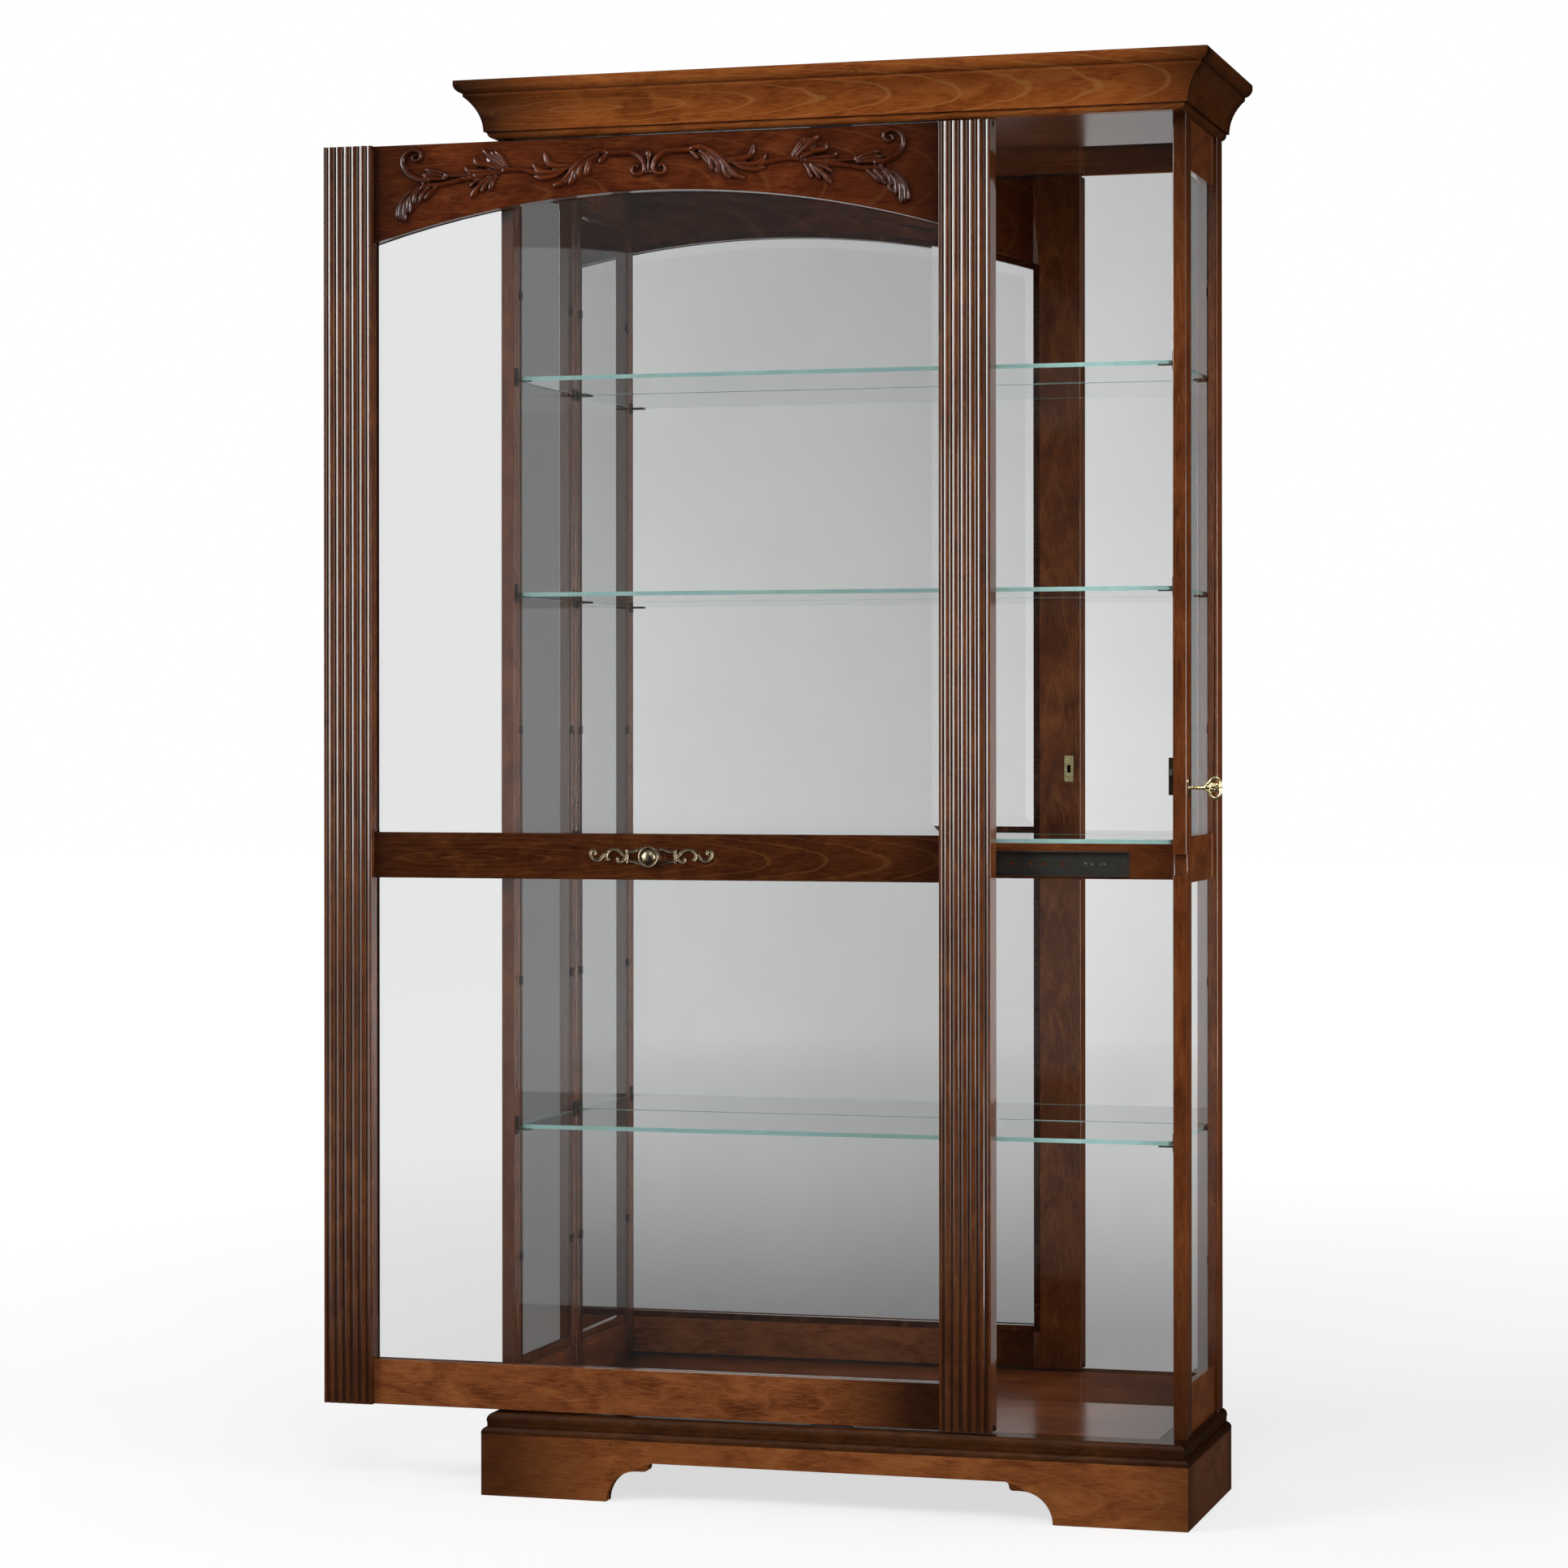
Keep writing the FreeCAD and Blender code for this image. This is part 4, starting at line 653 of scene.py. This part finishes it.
# the pierced bow, in mm from the face of the case and from the key's axis: rim, web, tip and boss
BOW = [
    (((22, 0), (24, 3.5), (28, 7.5), (32, 12), (37, 13.6), (41.5, 11.6), (45.5, 7), (47.6, 2),
      (48.2, 0)), 4, 3.2),
    (((22, 0), (24, -3.5), (27.5, -7), (30.5, -11.5), (35.5, -14.6), (40.5, -13), (44.5, -8), (47.4, -2.5),
      (48.2, 0)), 4, 3.2),
    (((18, 0), (24, 0), (30, 0)), 6.5, 3.2),
    (((38, 0), (43, 0), (47, 0)), 4.5, 2.8),
    (((30, 5), (34, 0), (30, -5)), 4, 3),
    (((38, 5), (34.5, 0), (38, -5)), 4, 3),
    (((27, 0), (34.2, 0), (42, 0)), 13, 3.6),
]
BOW_EDGE = 1.7 * MM     # the bow's strokes stay this far inside the key's end
# beads round the middle of the bow
BEAD_MIDDLE = 34
BEAD_HALF = 0.9
BEAD = (2 * MM, 2.3 * MM)     # width and height
BEADS = [(1.7, 2.4), (1.7, -2.4), (-2.2, 1.8), (-2.2, -1.8), (4, 0)]

low, high = (Vector(c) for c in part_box("key"))
KEY_Y, KEY_Z = (low.y + high.y) / 2, (low.z + high.z) / 2
KEY_END = high.x - POST_SIDE
pierced = bmesh.new()
for points, width, height in BOW:
    placed = [(POST_SIDE + min(x * MM, KEY_END - BOW_EDGE), KEY_Z + z * MM) for x, z in points]
    stroke(pierced, placed, width * MM, height / 2 * MM, HALF_ROUND, stem)
    stroke(pierced, placed, width * MM, -height / 2 * MM, HALF_ROUND, stem)
for x, z in BEADS:
    placed = [(POST_SIDE + (BEAD_MIDDLE + x + d) * MM, KEY_Z + z * MM) for d in (-BEAD_HALF, 0, BEAD_HALF)]
    stroke(pierced, placed, *BEAD, HALF_ROUND, leaf)
for vertex in pierced.verts:
    vertex.co.y += KEY_Y
bow = skinned("key_bow", pierced, voxel=0.32 * MM)
# the turned shank, from the lock to the bow
SHANK = [(0, -24), (2.6, -23.5), (2.9, -22), (2.9, 2), (2.3, 2.6), (2.2, 8), (2.9, 8.8), (3.0, 9.8),
         (2.3, 10.6), (2.2, 11.4), (3.0, 12.4), (3.3, 13.6), (3.0, 14.8), (2.0, 15.8), (1.9, 16.6),
         (2.7, 17.6), (2.9, 19), (2.2, 21), (0, 22)]
shank = turned("key_shank", SHANK, Vector((POST_SIDE, KEY_Y, KEY_Z)), "X", turns=32)
for piece in (bow, shank):
    piece.data.materials.append(polished_brass)
    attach(piece, "key")
    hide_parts("key")


# stage, light and camera

FLOOR_HALF = 30.0
FLOOR_DROP = 0.4 * MM         # just under the case, so that no face lies in its plane
PAPER = "#aaaaaa"
PAPER_DIM = "#3c3a38"         # what lacquer and metal see of the paper
WINDOW_GLOW = (17.0, 3.0)     # strength of the windows to the left and to the right
SHEEN_GLOW = (3.0, 1.5)       # and of their sheen on the floor


def seen_straight(tree, path):
    """1 for what the camera sees straight or through glass, with no reflection on the way."""
    seen = calc(tree, "MAXIMUM", path["Is Camera Ray"], path["Is Transmission Ray"])
    return product(tree, seen, calc(tree, "LESS_THAN", path["Glossy Depth"], 0.5))


def either(tree, factor, first, second):
    """The first of two sockets where the factor is 0, the second where it is 1."""
    return add(tree, "Mix", links={0: factor, 2: first, 3: second}).outputs[0]


def rolled_paper():
    """Pale paper, rolled out: it shows white where no shadow falls."""
    material, tree, shader = blank("paper_rolled_pale", Roughness=0.9, Specular_IOR_Level=0.0,
                                   Emission_Color=(1, 1, 1, 1))
    path = add(tree, "LightPath").outputs
    place = add(tree, "TexCoord").outputs["Object"]
    x, y = add(tree, "SeparateXYZ", links={0: place}).outputs[:2]
    away = add(tree, "VectorMath", links={0: place}, operation="LENGTH").outputs["Value"]
    # straight or through glass: a little darker round the case and through a second pane
    lift = product(tree, scaled(tree, away, 0.9, 5.0, 0.68, 0.9),
                   scaled(tree, path["Transmission Depth"], 2.0, 4.0, 1.0, 0.1))
    # in a mirror or in glass: darker towards the case and towards the right
    clean = product(tree, path["Is Glossy Ray"], path["Is Singular Ray"])
    mirrored = product(tree, clean, scaled(tree, away, 1.5, 9.0, 0.08, 0.95),
                       scaled(tree, calc(tree, "DIVIDE", x, y), 0.14, 0.34, 0.65, 1.0))
    # in lacquer and metal: dim, with the sheen of the windows far out to the left and right
    blurred = calc(tree, "SUBTRACT", path["Is Glossy Ray"], clean)
    slant = calc(tree, "DIVIDE", calc(tree, "ABSOLUTE", x), away)
    sheen = product(tree, scaled(tree, x, -1.0, 1.0, *SHEEN_GLOW),
                    scaled(tree, slant, 0.55, 0.63, 0.0, 1.0), scaled(tree, y, -0.5, 0.0, 1.0, 0.0),
                    scaled(tree, away, 2.0, 4.5, 0.0, 1.0), blurred)
    glow = either(tree, seen_straight(tree, path), mirrored, lift)
    tree.links.new(calc(tree, "ADD", glow, sheen), shader.inputs["Emission Strength"])
    shade = add(tree, "Mix", {6: linear(PAPER), 7: linear(PAPER_DIM)}, {0: blurred}, data_type="RGBA")
    tree.links.new(shade.outputs[2], shader.inputs["Base Color"])
    return material


floor_mesh = bmesh.new()
bmesh.ops.create_grid(floor_mesh, x_segments=1, y_segments=1, size=FLOOR_HALF)
floor_data = bpy.data.meshes.new("floor")
floor_mesh.to_mesh(floor_data)
floor_mesh.free()
floor_data.materials.append(rolled_paper())
floor = bpy.data.objects.new("floor", floor_data)
floor.location.z = -FLOOR_DROP
scene.collection.objects.link(floor)


def studio_world():
    """A white studio: mirror and glass show its pale room, lacquer and metal its unlit end and two
    windows."""
    world = bpy.data.worlds.new("studio")
    world.use_nodes = True
    tree = world.node_tree
    tree.nodes.clear()
    path = add(tree, "LightPath").outputs
    # the direction looked in: to the right, away from the front and up
    x, y, z = add(tree, "SeparateXYZ", links={0: add(tree, "TexCoord").outputs["Generated"]}).outputs
    beside = calc(tree, "ABSOLUTE", x)

    # the room: a little darker above, brighter to the left, dark behind the case; what is mirrored three
    # times loses light on its way
    room = product(tree, scaled(tree, z, 0.0, 0.14, 1.0, 0.76), scaled(tree, x, -0.33, -0.12, 1.25, 0.55),
                   scaled(tree, y, -0.1, 0.25, 1.0, 0.12),
                   scaled(tree, path["Glossy Depth"], 2.0, 3.0, 1.0, 0.25))
    # the unlit end: dim walls and ceiling
    around = calc(tree, "MAXIMUM", scaled(tree, beside, 0.55, 0.85, 0.04, 0.5),
                  scaled(tree, z, 0.4, 0.8, 0.0, 0.5))
    dim = product(tree, around, scaled(tree, y, -0.1, 0.4, 1.0, 0.15))
    # two windows, left and right, which give lacquer and metal their glints
    window = product(tree, scaled(tree, x, -0.1, 0.1, *WINDOW_GLOW),
                     scaled(tree, beside, 0.62, 0.7, 0.0, 1.0), scaled(tree, y, -0.2, -0.08, 1.0, 0.0),
                     scaled(tree, z, 0.25, 0.4, 1.0, 0.0))
    shine = either(tree, path["Is Singular Ray"], calc(tree, "MAXIMUM", dim, window), room)
    # the light on matt surfaces is even
    level = add(tree, "Mix", {2: 0.3}, {0: path["Is Glossy Ray"], 3: shine}).outputs[0]
    # through a second pane the dim end of the room shows
    panes = scaled(tree, path["Transmission Depth"], 2.0, 4.0, 1.0, 0.25)
    whole = either(tree, seen_straight(tree, path), level, panes)
    back = add(tree, "Background", {"Color": (1, 1, 1, 1)}, {"Strength": whole})
    add(tree, "OutputWorld", links={"Surface": back.outputs[0]})
    return world


scene.world = studio_world()


def softbox(name, place, aim, size, power, spread=math.pi):
    """A large soft lamp, of a size in metres and a power in watts."""
    data = bpy.data.lights.new(name, "AREA")
    data.shape = "RECTANGLE"
    data.size, data.size_y = size
    data.energy = power
    data.spread = spread
    lamp = bpy.data.objects.new(name, data)
    lamp.location = place
    lamp.rotation_euler = (Vector(aim) - Vector(place)).to_track_quat("-Z", "Y").to_euler()
    scene.collection.objects.link(lamp)
    return lamp


MIDDLE = (0, -0.2, 1.0)      # middle of the case
softbox("key_front_left", (-4.4, -3.8, 3.3), MIDDLE, (2.2, 2.2), 145)
softbox("front", (1.0, -5.2, 4.6), MIDDLE, (2.5, 1.6), 100)
softbox("fill_right", (4.4, -1.3, 1.0), (0.45, -0.2, 1.0), (1.2, 1.6), 11, spread=0.8)
# the light that the mirror throws back on to the inside of the case
bounce = softbox("mirror_bounce", (0, -0.04, 1.04), (0, -1.0, 1.04), (0.9, 1.75), 1.6)
bounce.visible_camera = bounce.visible_glossy = bounce.visible_transmission = False

# the photograph's frame and the camera that fits it, in its pixels
PHOTO = 1932
FOCAL = 5088
SHIFT_DOWN = 58.8
SENSOR = 36.0                # width in mm
lens = bpy.data.cameras.new("camera")
lens.sensor_width = SENSOR
lens.lens = SENSOR * FOCAL / PHOTO
lens.shift_y = -SHIFT_DOWN / PHOTO
camera = bpy.data.objects.new("camera", lens)
camera.location = (1.5479, -5.9295, 1.0910)
camera.rotation_euler = (math.pi / 2, 0.0007, 0.2803)
scene.collection.objects.link(camera)
scene.camera = camera
